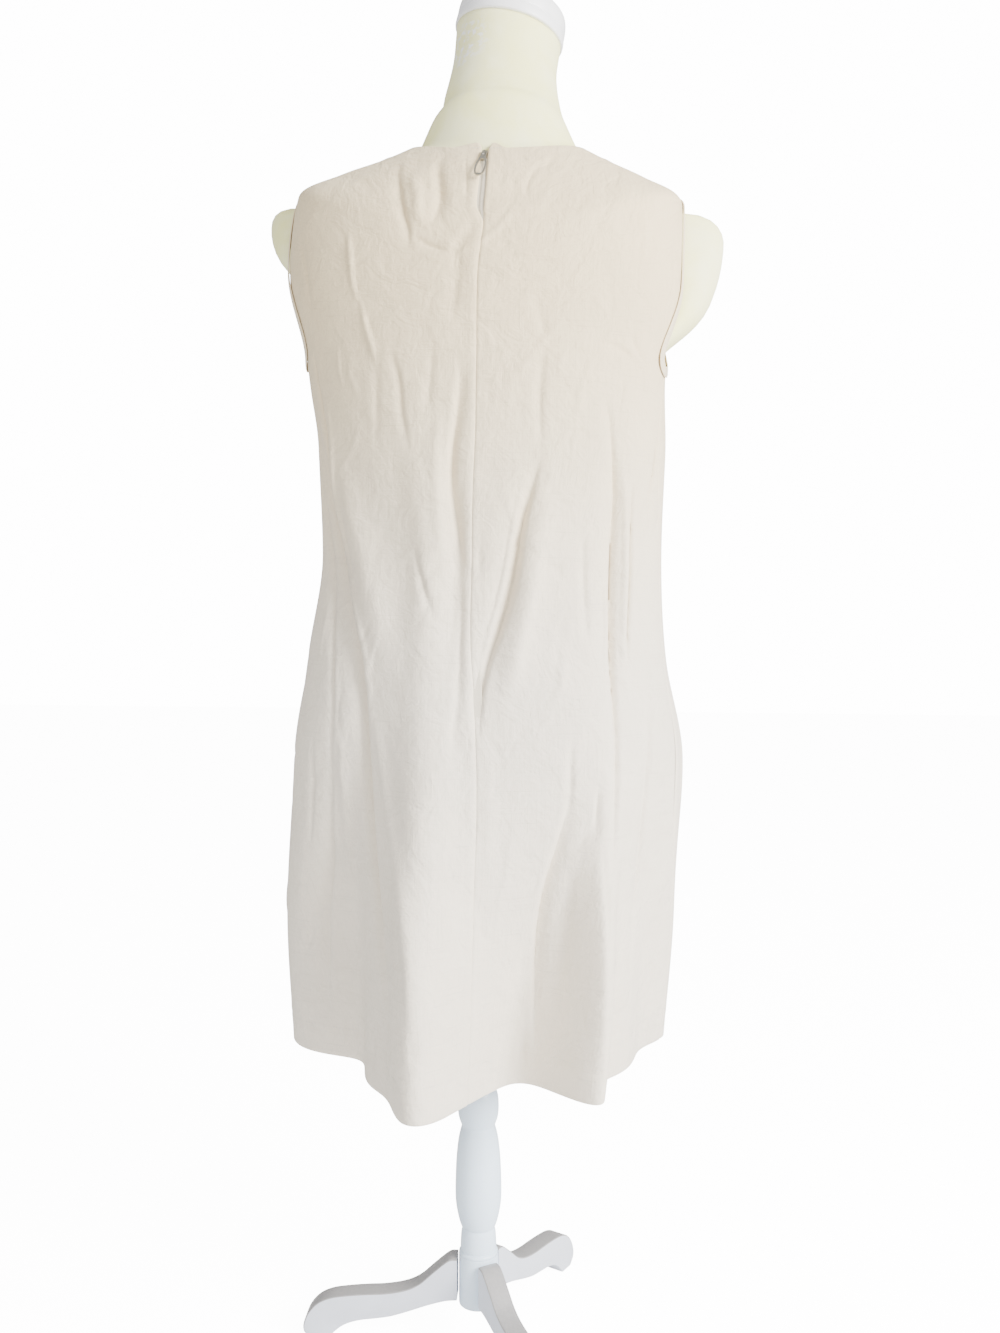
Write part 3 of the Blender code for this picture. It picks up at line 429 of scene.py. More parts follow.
LINES = lines_from((
    # The long trough from under the left arm down to the hem, and its neighbours.
    (((28, 987), (29.5, 963), (30, 925), (31, 887), (28.5, 849), (31, 807), (39, 773)), -57, 36, 0.5),
    (((36, 790), (49, 735), (55, 690), (59, 630), (61.5, 551), (65, 497), (69, 445), (72.5, 395),
      (75.5, 345)), -115, 65, 0.7),
    (((34, 943), (35.5, 885), (35.5, 843), (37, 801), (47.5, 753), (56.5, 707), (60, 661)), 49, 36, -0.5),
    (((14.5, 871), (20, 835), (25, 801), (33, 753), (41, 697), (44, 641), (43, 575)), -46, 32, 0.4),
    (((44, 603), (41.5, 547), (40.5, 509), (37, 459), (34, 397), (30.5, 331)), -54, 50, 0.5),
    (((20, 905), (24, 870), (28, 835), (34, 790)), -26, 26, 0.4),
    (((63, 643), (68.5, 571), (76, 505), (81, 441), (83, 375)), 51, 65, -0.6),
    (((34.5, 625), (34.5, 573), (32.5, 517)), -22, 30, 0.2),
    (((33, 453), (29.5, 425), (25.5, 405)), -22, 30, 0),
    (((48.5, 661), (49, 585), (48.5, 509), (45, 431)), 26, 80, 0),
    (((8, 700), (16, 640), (20, 560)), -26, 70, 0.3),
    # Either side of the zip.
    (((89, 975), (87, 935), (84.5, 895), (83.5, 855), (85, 819), (86.5, 783)), -51, 40, -0.5),
    (((87, 769), (88, 727), (88, 673), (87.5, 637), (88, 607)), -24, 34, -0.2),
    (((82.5, 935), (80, 881), (80.5, 827), (82, 773)), 22, 50, 0.3),
    (((109, 886), (107, 855), (105, 827), (103.5, 793), (102, 763), (99, 727), (96, 699), (94, 669),
      (93, 628)), -84, 48, 0.75),
    (((104, 865), (101.5, 825), (99.5, 787), (97.5, 750), (95, 715), (93, 680)), 29, 36, -0.6),
    (((108.5, 793), (106.5, 747), (103.5, 701), (100, 655)), 22, 70, 0.2),
    (((69, 983), (70.5, 955), (70, 923), (71.5, 891)), -26, 36, 0.3),
    (((72, 805), (74.5, 781), (77.5, 757), (81, 735)), -26, 30, 0.4),
    (((82, 987), (80.5, 959), (77.5, 923)), -14, 35, 0),
    (((110, 987), (108.5, 937), (109, 893)), -22, 45, 0.4),
    (((94.5, 640), (96.5, 560), (97.5, 470)), 14, 60, 0),
    # The right side.
    (((132, 945), (135, 905), (138.5, 851), (139, 795), (139, 739), (138, 683), (135, 609), (133, 535),
      (131, 483)), -62, 42, 0.5),
    (((145.5, 870), (147, 795), (146, 739), (144.5, 695)), -41, 28, 0.4),
    (((139.5, 887), (142.5, 833), (143, 757), (142, 683)), 29, 36, -0.4),
    (((134, 775), (135.5, 733), (133, 690)), 22, 32, 0),
    (((124.5, 821), (125.5, 765), (127, 715)), -19, 45, 0.3),
    (((157, 701), (152, 625), (150.5, 567), (149.5, 511), (147, 443), (145.5, 375)), -31, 60, 0.5),
    (((119, 575), (118, 550), (116.5, 520), (115, 489), (114.5, 441), (116, 383),
      (117.5, 327)), -76, 55, -0.6),
    (((122.5, 510), (122.5, 443), (121.5, 387), (121.5, 325)), -49, 50, 0.6),
    (((127.5, 585), (127.5, 561), (127, 540)), -29, 26, 0),
    (((128, 535), (128, 465), (127.5, 405), (126.5, 340)), 46, 48, 0.7),
    (((119, 629), (119, 593), (119.5, 559)), -26, 38, 0.4),
    # The upper back: soft slack under the left shoulder, and pulls beside the armholes.
    (((49, 1148), (64.5, 1119), (73.5, 1095), (76.5, 1067)), -41, 34, 0.3),
    (((62, 1140), (73, 1117), (79.5, 1090)), 34, 38, 0.3),
    (((67, 1155), (75, 1133), (80.5, 1111), (82, 1090)), -49, 50, -0.4),
    (((77, 1078), (82, 1071), (87, 1066)), -22, 26, 0),
    (((81, 1158), (85.5, 1135), (88, 1112)), -13, 18, 0),
    (((89, 1085), (88.5, 1045), (87, 1003)), -19, 38, 0.3),
    (((56, 1075), (58.5, 1051), (60, 1020)), 22, 26, 0.3),
    (((61, 1020), (61.5, 995), (63.5, 970)), 22, 26, 0),
    (((103.5, 1117), (107.5, 1137), (117, 1155)), -16, 22, 0),
    (((113, 1141), (118.5, 1151), (127.5, 1161)), -16, 20, 0),
    (((129, 992), (138.5, 989), (146.5, 979), (155.5, 969)), -22, 28, 0.3),
    (((141, 1003), (146.5, 991), (155.5, 977)), -22, 26, 0),
    (((162, 915), (160, 880), (155, 850)), -29, 26, 0.4),
    (((29.5, 1063), (36, 1041), (35.5, 1015)), -17, 40, 0),
    # Pulls across the right pocket's mouth.
    (((157, 649), (164, 643), (170, 641)), -19, 20, 0),
    (((155, 632), (162, 629), (169, 629)), -19, 20, 0),
    (((154, 600), (161, 603), (168, 605)), -22, 26, 0),
    (((157, 577), (163, 575), (169, 573)), -24, 20, 0),
    (((156, 561), (163, 563), (170, 563)), -19, 22, 0),
    (((157, 549), (164, 549), (171, 547)), -17, 20, 0),
    (((157, 525), (164, 527), (171, 525)), -17, 22, 0),
    # The left pocket, which is hidden behind the side.
    (((0, 690), (7, 694), (14, 700)), -14, 30, 0),
    (((0, 610), (8, 606), (16, 598)), -13, 34, 0),
    (((0, 545), (8, 550), (14, 560)), -14, 34, 0),
    # The front, which the photo hides: the same kinds of folds, from the bust and the hips down.
    (((196, 940), (212, 850), (222, 740), (224, 600)), -40, 90, 0),
    (((344, 940), (328, 850), (318, 740), (316, 610)), -38, 90, 0),
    (((205, 950), (224, 860), (234, 760), (237, 620)), 26, 90, 0),
    (((335, 950), (317, 860), (307, 760), (304, 640)), 26, 90, 0),
    (((256, 840), (254, 700), (256, 560), (258, 430)), -26, 70, 0),
    (((285, 820), (287, 690), (284, 560), (286, 420)), -24, 70, 0),
    (((268, 760), (270, 640), (269, 500)), 18, 80, 0),
    (((240, 1010), (252, 985), (262, 975)), -14, 60, 0),
    (((300, 1012), (288, 988), (279, 976)), -14, 60, 0),
    (((212, 1040), (218, 1010), (226, 985)), 14, 50, 0),
    (((328, 1040), (322, 1008), (315, 985)), 14, 50, 0),
    (((186, 700), (193, 696), (202, 690)), -12, 34, 0),
    (((188, 590), (197, 586), (206, 580)), -11, 34, 0),
    (((336, 692), (346, 696), (356, 700)), -12, 34, 0),
))


# %% [markdown]
# ## Small creases, and the push of them all
#
# Worn linen is never quite smooth between its main creases. A seeded draw places faint short ones, and
# the seed keeps them the same each time. Then every crease, large or small, becomes a push on the
# points that lie near its path.

# %% The push of the creases
def small_lines(seed, count, angles, stations):
    """Short faint creases at seeded places: a slack slanting line of three points each."""
    rng = np.random.default_rng(seed)
    lines = []
    for _ in range(count):
        angle, station = rng.uniform(*angles), rng.uniform(*stations)
        slant, length = rng.normal(0.0, 0.55), rng.uniform(0.03, 0.10)
        turn = math.degrees(length * math.sin(slant) / FLAT_RADIUS)
        bend = rng.normal(0.0, 1.6)
        drop = length * math.cos(slant)
        middle = (angle + turn / 2 + bend, station - drop / 2)
        path = ((angle, station), middle, (angle + turn, station - drop))
        depth, width = rng.choice((-1, 1)) * rng.uniform(0.0004, 0.0012), rng.uniform(0.0022, 0.0048)
        lines.append(Line(path, depth, width, rng.uniform(-0.5, 0.5)))
    return lines


SMALL = small_lines(5, 70, (8, 170), (0.36, 1.12)) + small_lines(8, 50, (190, 350), (0.36, 1.00))


def line_push(angle, station, lines):
    """Each crease's bell of the distance to its path, on the dress laid flat, faded at both ends.

    A lean above 0 makes the bell steep on the viewer's right of the path and broad on the left.
    """
    flat = np.stack([angle * FLAT_RADIUS, station], axis=-1)
    push = np.zeros(flat.shape[:-1])
    for line in lines:
        path = np.array(line.path, float)
        path[:, 0] = np.radians(path[:, 0]) * FLAT_RADIUS
        path = through(path, 5)
        reach = 3 * line.width
        low, high = path.min(axis=0) - reach, path.max(axis=0) + reach
        near = np.all((flat > low) & (flat < high), axis=-1)
        spots = flat[near]
        best = np.full(len(spots), 9.0)
        along = np.zeros(len(spots))
        side = np.zeros(len(spots))
        for number, (a, b) in enumerate(zip(path, path[1:])):
            step = b - a
            t = np.clip((spots - a) @ step / (step @ step), 0.0, 1.0)
            off = spots - a - t[:, None] * step
            far = np.linalg.norm(off, axis=-1)
            closer = far < best
            side = np.where(closer, np.sign(step[0] * off[:, 1] - step[1] * off[:, 0]), side)
            best = np.where(closer, far, best)
            along = np.where(closer, (number + t) / (len(path) - 1), along)
        fade = np.sin(math.pi * np.clip(along, 0.0, 1.0)) ** 0.8
        push[near] += line.depth * fade * bump(best, line.width * (1 - LEAN_SHARE * line.lean * side))
    return push


def dress_surface(angle, station, fine=True):
    """The inside of the cloth: the ring, pushed out by the large folds and the fine creases."""
    angle, station = same_shape(angle, station)
    push = large_push(angle, station)
    if fine:
        push = push + line_push(angle, station, LINES) + line_push(angle, station, SMALL)
    away = np.stack([np.cos(angle), np.sin(angle), np.zeros_like(angle)], axis=-1)
    return ring_point(angle, station) + away * push[..., None]


def directions(angle, station, fine=True):
    """The steps round and up at points of the dress and its outward normal, by small differences."""
    d = SMALL_STEP
    low, high = np.clip(station - d, HEM_Z, None), np.clip(station + d, None, NECK_Z)
    around = dress_surface(angle + d, station, fine) - dress_surface(angle - d, station, fine)
    up = dress_surface(angle, high, fine) - dress_surface(angle, low, fine)
    around, up = around / (2 * d), up / (high - low)[..., None]
    return around, up, unit(np.cross(around, up))


def on_dress(angle, station, out, fine=True):
    """Points out metres outside the cloth's inner face."""
    angle, station = same_shape(angle, station)
    normal = directions(angle, station, fine)[2]
    return dress_surface(angle, station, fine) + normal * np.asarray(out)[..., None] + AXIS


def degrees_for(angle, station, width):
    """The step in angle, in radians, that goes width metres round the dress."""
    angle, station = same_shape(angle, station)
    return width / np.linalg.norm(directions(angle, station, False)[0], axis=-1)


print(len(LINES), "creases placed by hand and", len(SMALL), "small ones")

# %% [markdown]
# ## Where the pieces of cloth end
#
# The front is cut in one, the back in two with the zip between them. Each panel's edge is the side
# seam, then the armhole, then the shoulder seam. At the top of the zip the edges turn back in a V.

# %% Panel edges
SIDE_NAME = {1: "left", -1: "right"}


def side_seam(side, station):
    """The side seam's angle in degrees, led round the front of the side to the shoulder seam."""
    seam = SEAMS[SIDE_NAME[side]](np.minimum(station, UNDERARM_Z))
    shoulder = SHOULDER_SEAM if side > 0 else 180.0 - SHOULDER_SEAM
    up = ease((station - UNDERARM_Z) / (SHOULDER_Z - UNDERARM_Z))
    forward = ARMHOLE_FORWARD[SIDE_NAME[side]] * armhole_opening(station) ** 2
    return seam + (shoulder - seam) * up - side * forward


def armhole_opening(station):
    """1 at the widest of the armhole and 0 at its ends: a half circle over the station."""
    return np.sqrt(np.clip(1 - ((station - ARMHOLE_MIDDLE) / ARMHOLE_HALF) ** 2, 0.0, 1.0))


def panel_edge(side, behind, station):
    """The angle of a panel's edge at the side, half a seam gap or half a pocket gape from the seam."""
    toward = side if behind else -side
    opening = ARMHOLE_BACK if behind else ARMHOLE_FRONT
    edge = np.radians(side_seam(side, station) + toward * opening * armhole_opening(station))
    pocket = np.clip((station - POCKET_LOW_Z) / (POCKET_HIGH_Z - POCKET_LOW_Z), 0.0, 1.0)
    gap = SEAM_GAP + (POCKET_GAPE - SEAM_GAP) * np.sin(math.pi * pocket)
    return edge + toward * degrees_for(edge, station, gap / 2)


def centre_back(side, station):
    """The angle of a back panel's edge along the zip, wider open near the top, with a V at the neck."""
    middle = np.radians(SEAMS["back"](station))
    opened = ease((station - ZIP_OPEN_Z) / ZIP_OPEN_FADE)
    width = SEAM_GAP + (ZIP_OPEN_WIDTH - SEAM_GAP) * opened
    notch = np.clip((station - NECK_Z + NOTCH_DEPTH) / NOTCH_DEPTH, 0.0, 1.0)
    width = width + (NOTCH_WIDTH - ZIP_OPEN_WIDTH) * notch**2
    return middle - side * degrees_for(middle, station, width / 2)


def neck_cut(angle, station):
    """Stations above the shoulders, pressed down to the cut neckline: only the zip's corners stay."""
    turn = angle - np.radians(SEAMS["back"](NECK_Z))
    wide = np.where(turn < 0, CORNER_WIDTH["left"], CORNER_WIDTH["right"])
    off = np.abs(centred(turn))
    away = np.clip(off / degrees_for(angle, NECK_Z, wide) - NOTCH_WIDTH / 2 / wide, 0.0, None)
    share = np.clip((station - SHOULDER_Z) / (NECK_Z - SHOULDER_Z), 0.0, 1.0)
    return station - NECK_TRIM * ease(away) * share


def panel_rows(skirt, armhole, shoulder, notch):
    """A panel's stations beside an armhole, where they crowd at its ends, and away from it."""
    low = np.linspace(HEM_Z, UNDERARM_Z, skirt)
    turn = np.linspace(0.0, math.pi, armhole + 1)[1:]
    beside = ARMHOLE_MIDDLE - ARMHOLE_HALF * np.cos(turn)
    even = np.linspace(UNDERARM_Z, SHOULDER_Z, armhole + 1)[1:]
    high = np.linspace(SHOULDER_Z, NECK_Z - NOTCH_DEPTH, shoulder + 1)[1:]
    top = np.linspace(NECK_Z - NOTCH_DEPTH, NECK_Z, notch + 1)[1:]
    rows = [np.concatenate([low, middle, high, top]) for middle in (beside, even)]
    return rows[0], rows[1]


# %% [markdown]
# ## A weave that any cloth here can use
#
# Linen is a plain weave with thick and thin threads. A texture image would be easy, but it would
# repeat and blur close up. A node group works the threads out from the piece's own cut map, which is
# in metres, so one thread is the same size on every piece: two sines make the threads, and noise
# stretched along each direction makes the slubs.

# %% Node helpers
def new_group(name, inputs, outputs):
    """An empty shader group with named float or vector inputs and outputs."""
    group = bpy.data.node_groups.new(name, "ShaderNodeTree")
    for label, kind, value in inputs:
        made = group.interface.new_socket(label, in_out="INPUT", socket_type=kind)
        if value is not None:
            made.default_value = value
    for label, kind in outputs:
        group.interface.new_socket(label, in_out="OUTPUT", socket_type=kind)
    return group, group.nodes.new("NodeGroupInput"), group.nodes.new("NodeGroupOutput")


def fill(tree, socket, value):
    """Links a socket to another's output, or sets its value."""
    if isinstance(value, bpy.types.NodeSocket):
        tree.links.new(value, socket)
    else:
        socket.default_value = value


def give(tree, node, label, value):
    """Feeds one named input of a node."""
    fill(tree, node.inputs[label], value)


# %% [markdown]
# ## Short names for nodes
#
# A material is a tree of small nodes. Adding one by hand takes a line to make it and a line for every
# value, so each kind that we use often gets a function which returns its output.

# %% Node shorthands
def maths(tree, operation, first, second=0.0, third=None):
    made = tree.nodes.new("ShaderNodeMath")
    made.operation = operation
    fill(tree, made.inputs[0], first)
    fill(tree, made.inputs[1], second)
    if third is not None:
        fill(tree, made.inputs[2], third)
    return made.outputs[0]


def times(tree, first, second):
    return maths(tree, "MULTIPLY", first, second)


def ribs(tree, turns):
    """Rows of rounded ribs: the size of a sine."""
    return maths(tree, "ABSOLUTE", maths(tree, "SINE", turns))


def parts_of(tree, vector):
    made = tree.nodes.new("ShaderNodeSeparateXYZ")
    fill(tree, made.inputs[0], vector)
    return made.outputs


def stretch(tree, vector, scale):
    """A vector times a scale on each axis."""
    made = tree.nodes.new("ShaderNodeVectorMath")
    made.operation = "MULTIPLY"
    fill(tree, made.inputs[0], vector)
    fill(tree, made.inputs[1], scale)
    return made.outputs[0]


def noise(tree, vector, scale, detail=2.0, roughness=0.5, distortion=0.0):
    made = tree.nodes.new("ShaderNodeTexNoise")
    give(tree, made, "Vector", vector)
    give(tree, made, "Scale", scale)
    give(tree, made, "Detail", detail)
    give(tree, made, "Roughness", roughness)
    give(tree, made, "Distortion", distortion)
    return made.outputs["Fac"]


def ramp(tree, value, low, high, to_low=0.0, to_high=1.0):
    """A smooth step of a value from one range to another."""
    made = tree.nodes.new("ShaderNodeMapRange")
    made.interpolation_type = "SMOOTHSTEP"
    give(tree, made, "Value", value)
    for label, number in (("From Min", low), ("From Max", high), ("To Min", to_low), ("To Max", to_high)):
        made.inputs[label].default_value = number
    return made.outputs["Result"]


def blend(tree, amount, first, second):
    """A colour that goes from the first to the second as amount goes from 0 to 1."""
    made = tree.nodes.new("ShaderNodeMix")
    made.data_type = "RGBA"
    fill(tree, made.inputs[0], amount)
    fill(tree, made.inputs[6], first)
    fill(tree, made.inputs[7], second)
    return made.outputs[2]


def relief(tree, height, distance, strength=1.0, normal=None):
    made = tree.nodes.new("ShaderNodeBump")
    give(tree, made, "Distance", distance)
    give(tree, made, "Strength", strength)
    give(tree, made, "Height", height)
    if normal is not None:
        tree.links.new(normal, made.inputs["Normal"])
    return made.outputs["Normal"]


def place(tree, group, **values):
    made = tree.nodes.new("ShaderNodeGroup")
    made.node_tree = group
    for label, value in values.items():
        fill(tree, made.inputs[label], value)
    return made.outputs


def new_finish(name):
    made = bpy.data.materials.new(name)
    made.use_nodes = True
    return made, made.node_tree, made.node_tree.nodes["Principled BSDF"]


def colour_pair(tree, amount, first, second):
    """The blend of two opaque colours given as red, green and blue."""
    return blend(tree, amount, (*first, 1.0), (*second, 1.0))


def cut_map(tree):
    return tree.nodes.new("ShaderNodeUVMap").outputs["UV"]


def object_map(tree):
    return tree.nodes.new("ShaderNodeTexCoord").outputs["Object"]


# %% [markdown]
# ## The weave as a group
#
# A node group is made once and used by any material, like a function. This one gives masks only, so
# the colours and the shading stay in the material that uses it.

# %% The weave group
def make_weave():
    """Threads are |sin| of each cut direction; slubs are noise stretched along each direction."""
    group, source, target = new_group(
        "plain_weave",
        [("Vector", "NodeSocketVector", None), ("Threads", "NodeSocketFloat", 1700.0)],
        [("Threads", "NodeSocketFloat"), ("Slubs", "NodeSocketFloat"), ("Blotches", "NodeSocketFloat")],
    )
    vector = source.outputs["Vector"]
    turns = times(group, source.outputs["Threads"], math.pi)
    warp, weft = (ribs(group, times(group, part, turns)) for part in parts_of(group, vector)[:2])
    down = ramp(group, noise(group, stretch(group, vector, (900.0, 22.0, 1.0)), 1.0, 2.0), 0.56, 0.78)
    across = ramp(group, noise(group, stretch(group, vector, (17.0, 760.0, 1.0)), 1.0, 2.0), 0.55, 0.76)
    give(group, target, "Threads", times(group, warp, weft))
    give(group, target, "Slubs", maths(group, "MAXIMUM", down, across))
    give(group, target, "Blotches", noise(group, vector, 11.0, 4.0, 0.6))
    return group


WEAVE = make_weave()

# %% [markdown]
# ## The linen
#
# Undyed linen is matt, warm and uneven. Its colour drifts a little in broad blotches, its slubs are a
# touch darker, and light catches the fibres that stand up at grazing angles, which is what sheen is
# for. The small crumples that every linen dress has are too many to model, so three layers of noise,
# each through a Bump node, stand for them under the weave: broad, fine, and drawn out downwards.

# %% Linen finish
def linen_finish(name, low_colour, high_colour, crumple=1.0):
    """Linen that goes from one colour at the hem to another at the shoulders, warmer at the top as painted
    light.
    """
    made, tree, shader = new_finish(name)
    cut = cut_map(tree)
    weave = place(tree, WEAVE, Vector=cut)
    # Painted light: the colour turns warmer and darker towards the shoulders, a tint for the warmer light on
    # the upper back.
    rise = ramp(tree, parts_of(tree, object_map(tree))[2], 0.62, 1.08)
    colour = colour_pair(tree, rise, low_colour, high_colour)
    darker = colour_pair(tree, 0.12, (1.0, 1.0, 1.0), (0.0, 0.0, 0.0))
    tinted = tree.nodes.new("ShaderNodeMix")
    tinted.data_type = "RGBA"
    tinted.blend_type = "MULTIPLY"
    fill(tree, tinted.inputs[0], times(tree, weave["Slubs"], 0.55))
    fill(tree, tinted.inputs[6], colour)
    fill(tree, tinted.inputs[7], darker)
    tone = ramp(tree, weave["Blotches"], 0.30, 0.72, 0.965, 1.02)
    toned = tree.nodes.new("ShaderNodeHueSaturation")
    give(tree, toned, "Value", tone)
    give(tree, toned, "Color", tinted.outputs[2])
    give(tree, shader, "Base Color", toned.outputs[0])
    give(tree, shader, "Roughness", ramp(tree, weave["Blotches"], 0.2, 0.8, 0.80, 0.93))
    give(tree, shader, "Specular IOR Level", 0.25)
    give(tree, shader, "Sheen Weight", 0.18)
    give(tree, shader, "Sheen Roughness", 0.5)
    broad = noise(tree, cut, 34.0, 3.0, 0.55, 0.8)
    fine = noise(tree, stretch(tree, cut, (1.0, 0.7, 1.0)), 120.0, 3.0, 0.6, 0.6)
    streaks = noise(tree, stretch(tree, cut, (1.0, 0.10, 1.0)), 210.0, 3.0, 0.6, 0.4)
    first = relief(tree, broad, 0.0040 * crumple, 0.7)
    second = relief(tree, fine, 0.0014 * crumple, 0.6, first)
    third = relief(tree, streaks, 0.0007 * crumple, 0.5, second)
    threads = maths(tree, "MULTIPLY_ADD", weave["Slubs"], 1.6, weave["Threads"])
    give(tree, shader, "Normal", relief(tree, threads, 0.00012, 0.7, third))
    return made


LINEN = linen_finish("linen_cloth", (0.81, 0.735, 0.615), (0.765, 0.625, 0.395))
# The trim is a touch lighter and less yellow than the panels: painted sheen for the bias-cut band, whose
# threads catch the light differently.
TRIM = linen_finish("linen_trim_painted_sheen", (0.79, 0.730, 0.610), (0.770, 0.650, 0.440), 0.35)
# The pocket cloth is dark brown-grey: painted shade for the inside of the pocket's slit.
POCKET_SHADE_LINEN = linen_finish("pocket_cloth_painted_shade", (0.34, 0.31, 0.26), (0.34, 0.30, 0.23), 0.6)
print("weave group and", len((LINEN, TRIM, POCKET_SHADE_LINEN)), "linens made")

# %% [markdown]
# ## The panels
#
# Each panel is a thin wall: an outer grid, an inner grid and a half-round edge between them. Near a
# seam the cloth rolls in a little. A stitched line sits in a groove, with small puckers beside it.
# The left back's edge stands proud of the right, as it does beside a lapped zip.

# %% Make the panels
ROLL_DEPTH = 0.0006
ROLL_WIDTH = 0.0010
LAP_HEIGHT = 0.0004
LAP_AT = 0.0050
LAP_WIDTH = 0.0030
STITCH_GROOVE = 0.0006
STITCH_WIDTH = 0.0016
PUCKER_HEIGHT = 0.0012
PUCKER_LENGTH = 0.013
PUCKER_FADE = 0.010
FACING_DEEP = 0.024
FACING_HEIGHT = 0.0005
FACING_WIDTH = 0.0022
LAP_TOP_Z = 1.16
LAP_FADE = 0.06
SPREAD = 0.035
BEND_SHARE = 0.32


def plain_edge(edge, station):
    """An edge's angle with no armhole in it: a straight lead from the underarm to the shoulder."""
    share = np.clip((station - UNDERARM_Z) / (SHOULDER_Z - UNDERARM_Z), 0.0, 1.0)
    inside = (share > 0.0) & (share < 1.0)
    low, high = edge(np.array([[UNDERARM_Z]])), edge(np.array([[SHOULDER_Z]]))
    return np.where(inside, low + (high - low) * share, edge(station))


def plain_angle(span, station, share):
    """The angle at a share of the way between a span's plain edges."""
    start, end = plain_edge(span.start, station), plain_edge(span.end, station)
    return start + (end - start) * share


def sewn_push(angle, station, edge_gap, zip_gap, seed):
    """What sewing does to the cloth: rolled edges, a groove at the hem's stitching, puckers by it."""
    rng = np.random.default_rng(seed)
    push = -ROLL_DEPTH * bump(edge_gap, ROLL_WIDTH)
    if zip_gap is not None:
        push = push + LAP_HEIGHT * bump(zip_gap - LAP_AT, LAP_WIDTH) * ease((LAP_TOP_Z - station) / LAP_FADE)
    hem = station - (HEM_Z + HEM_TURN)
    push = push - STITCH_GROOVE * bump(hem, STITCH_WIDTH)
    waves = sum(
        np.sin(angle * FLAT_RADIUS * 2 * math.pi / (PUCKER_LENGTH * scale) + rng.uniform(0, 6.3))
        for scale in (1.0, 1.7, 2.9)
    )
    push = push + PUCKER_HEIGHT / 3 * waves * bump(hem, PUCKER_FADE)
    facing = NECK_Z - FACING_DEEP - station
    return push + FACING_HEIGHT * bump(facing, FACING_WIDTH) * (station > SHOULDER_Z)


# %% [markdown]
# ## A panel from edge to edge
#
# A maker cuts a flat panel and the seams bend it. We go the other way: the grid runs from one seam to
# the other on the draped surface, and the cut map measures how far each point is from the seam and the
# hem, so the weave runs true as it would on the flat cloth.

# %% Cut and build the panels
def cut_of(points, start):
    """The cut map, in metres: distance round from the start column, and distance up from the hem."""
    steps = np.linalg.norm(np.diff(points, axis=1), axis=-1)
    round_it = np.concatenate([np.zeros((len(points), 1)), np.cumsum(steps, axis=1)], axis=1)
    rises = np.linalg.norm(np.diff(points, axis=0), axis=-1).mean(axis=1)
    up = np.concatenate([[0.0], np.cumsum(rises)])
    u = round_it - round_it[:, start][:, None]
    return np.stack([u, up[:, None] + np.zeros_like(u)], axis=-1), u


def make_panel(name, span, cols, rows, zip_side, seed):
    """A panel between two edges, each a function that gives its angle at a station.

    The armhole bends only the columns near it, so that the rest of the cloth keeps an even grid.
    """
    beside, even = (row[:, None] for row in rows)
    share = np.linspace(0.0, 1.0, cols + 1)
    share = share - SPREAD * np.sin(2 * math.pi * share)
    at_start = 0.0 if zip_side == "start" else 1.0 - ease(share / BEND_SHARE)
    at_end = 0.0 if zip_side == "end" else 1.0 - ease((1.0 - share) / BEND_SHARE)
    near = at_start + at_end
    bend_start = (span.start(beside) - plain_edge(span.start, beside)) * at_start
    bend_end = (span.end(beside) - plain_edge(span.end, beside)) * at_end
    plain, moved = (plain_angle(span, row, share) for row in (even, beside))
    angle = plain + bend_start + bend_end + (moved - plain) * near
    station = even + (beside - even) * near
    station = neck_cut(angle, station + np.zeros_like(angle))
    base = dress_surface(angle, station)
    _, u = cut_of(base, 0)
    width = u[:, -1:]
    from_zip = width - u if zip_side == "end" else None
    push = sewn_push(angle, station, np.minimum(u, width - u), from_zip, seed)
    around, up = np.gradient(base, axis=1), np.gradient(base, axis=0)
    normal = unit(np.cross(around, up))
    inner = base + normal * np.minimum(push, 0.0)[..., None] + AXIS
    outer = base + normal * (CLOTH + push)[..., None] + AXIS
    uv, _ = cut_of(outer, cols if zip_side == "end" else 0)
    made = shell(name, inner, outer, uv, LINEN, reach=0.0006)
    area = float(np.linalg.norm(np.cross(around, up), axis=-1).sum())
    print(name, "cloth", round(area, 3), "square metres")
    return made


BACK_ROWS = panel_rows(166, 56, 30, 6)
FRONT_ROWS = panel_rows(150, 48, 26, 4)
Span = namedtuple("Span", "start end")
LEFT_BACK = Span(lambda z: panel_edge(1, True, z), lambda z: centre_back(1, z))
RIGHT_BACK = Span(lambda z: centre_back(-1, z), lambda z: panel_edge(-1, True, z))
FRONT = Span(lambda z: panel_edge(-1, False, z), lambda z: 2 * math.pi + panel_edge(1, False, z))

back_left = make_panel("linen_back_left", LEFT_BACK, 178, BACK_ROWS, "end", 3)
back_right = make_panel("linen_back_right", RIGHT_BACK, 178, BACK_ROWS, "start", 4)
front = make_panel("linen_front", FRONT, 188, FRONT_ROWS, None, 6)
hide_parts("back_panel_left")
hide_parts("back_panel_right")
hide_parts("front_panel")

# %% [markdown]
# ## Armhole bands
#
# A narrow band is sewn flat round each armhole. It is a strip whose inner edge is the armhole's own
# edge. We find the direction away from the hole at each point, step that far over the dress, and lift
# the strip off the panels so that the two never meet. It is highest along its middle.

# %% Make the bands
BAND_WIDTH = 0.0095
BAND_THICK = 0.0010
BAND_LIFT = 0.0009
BAND_CROWN = 0.0004
BAND_STEPS = 168
BAND_LANES = 9


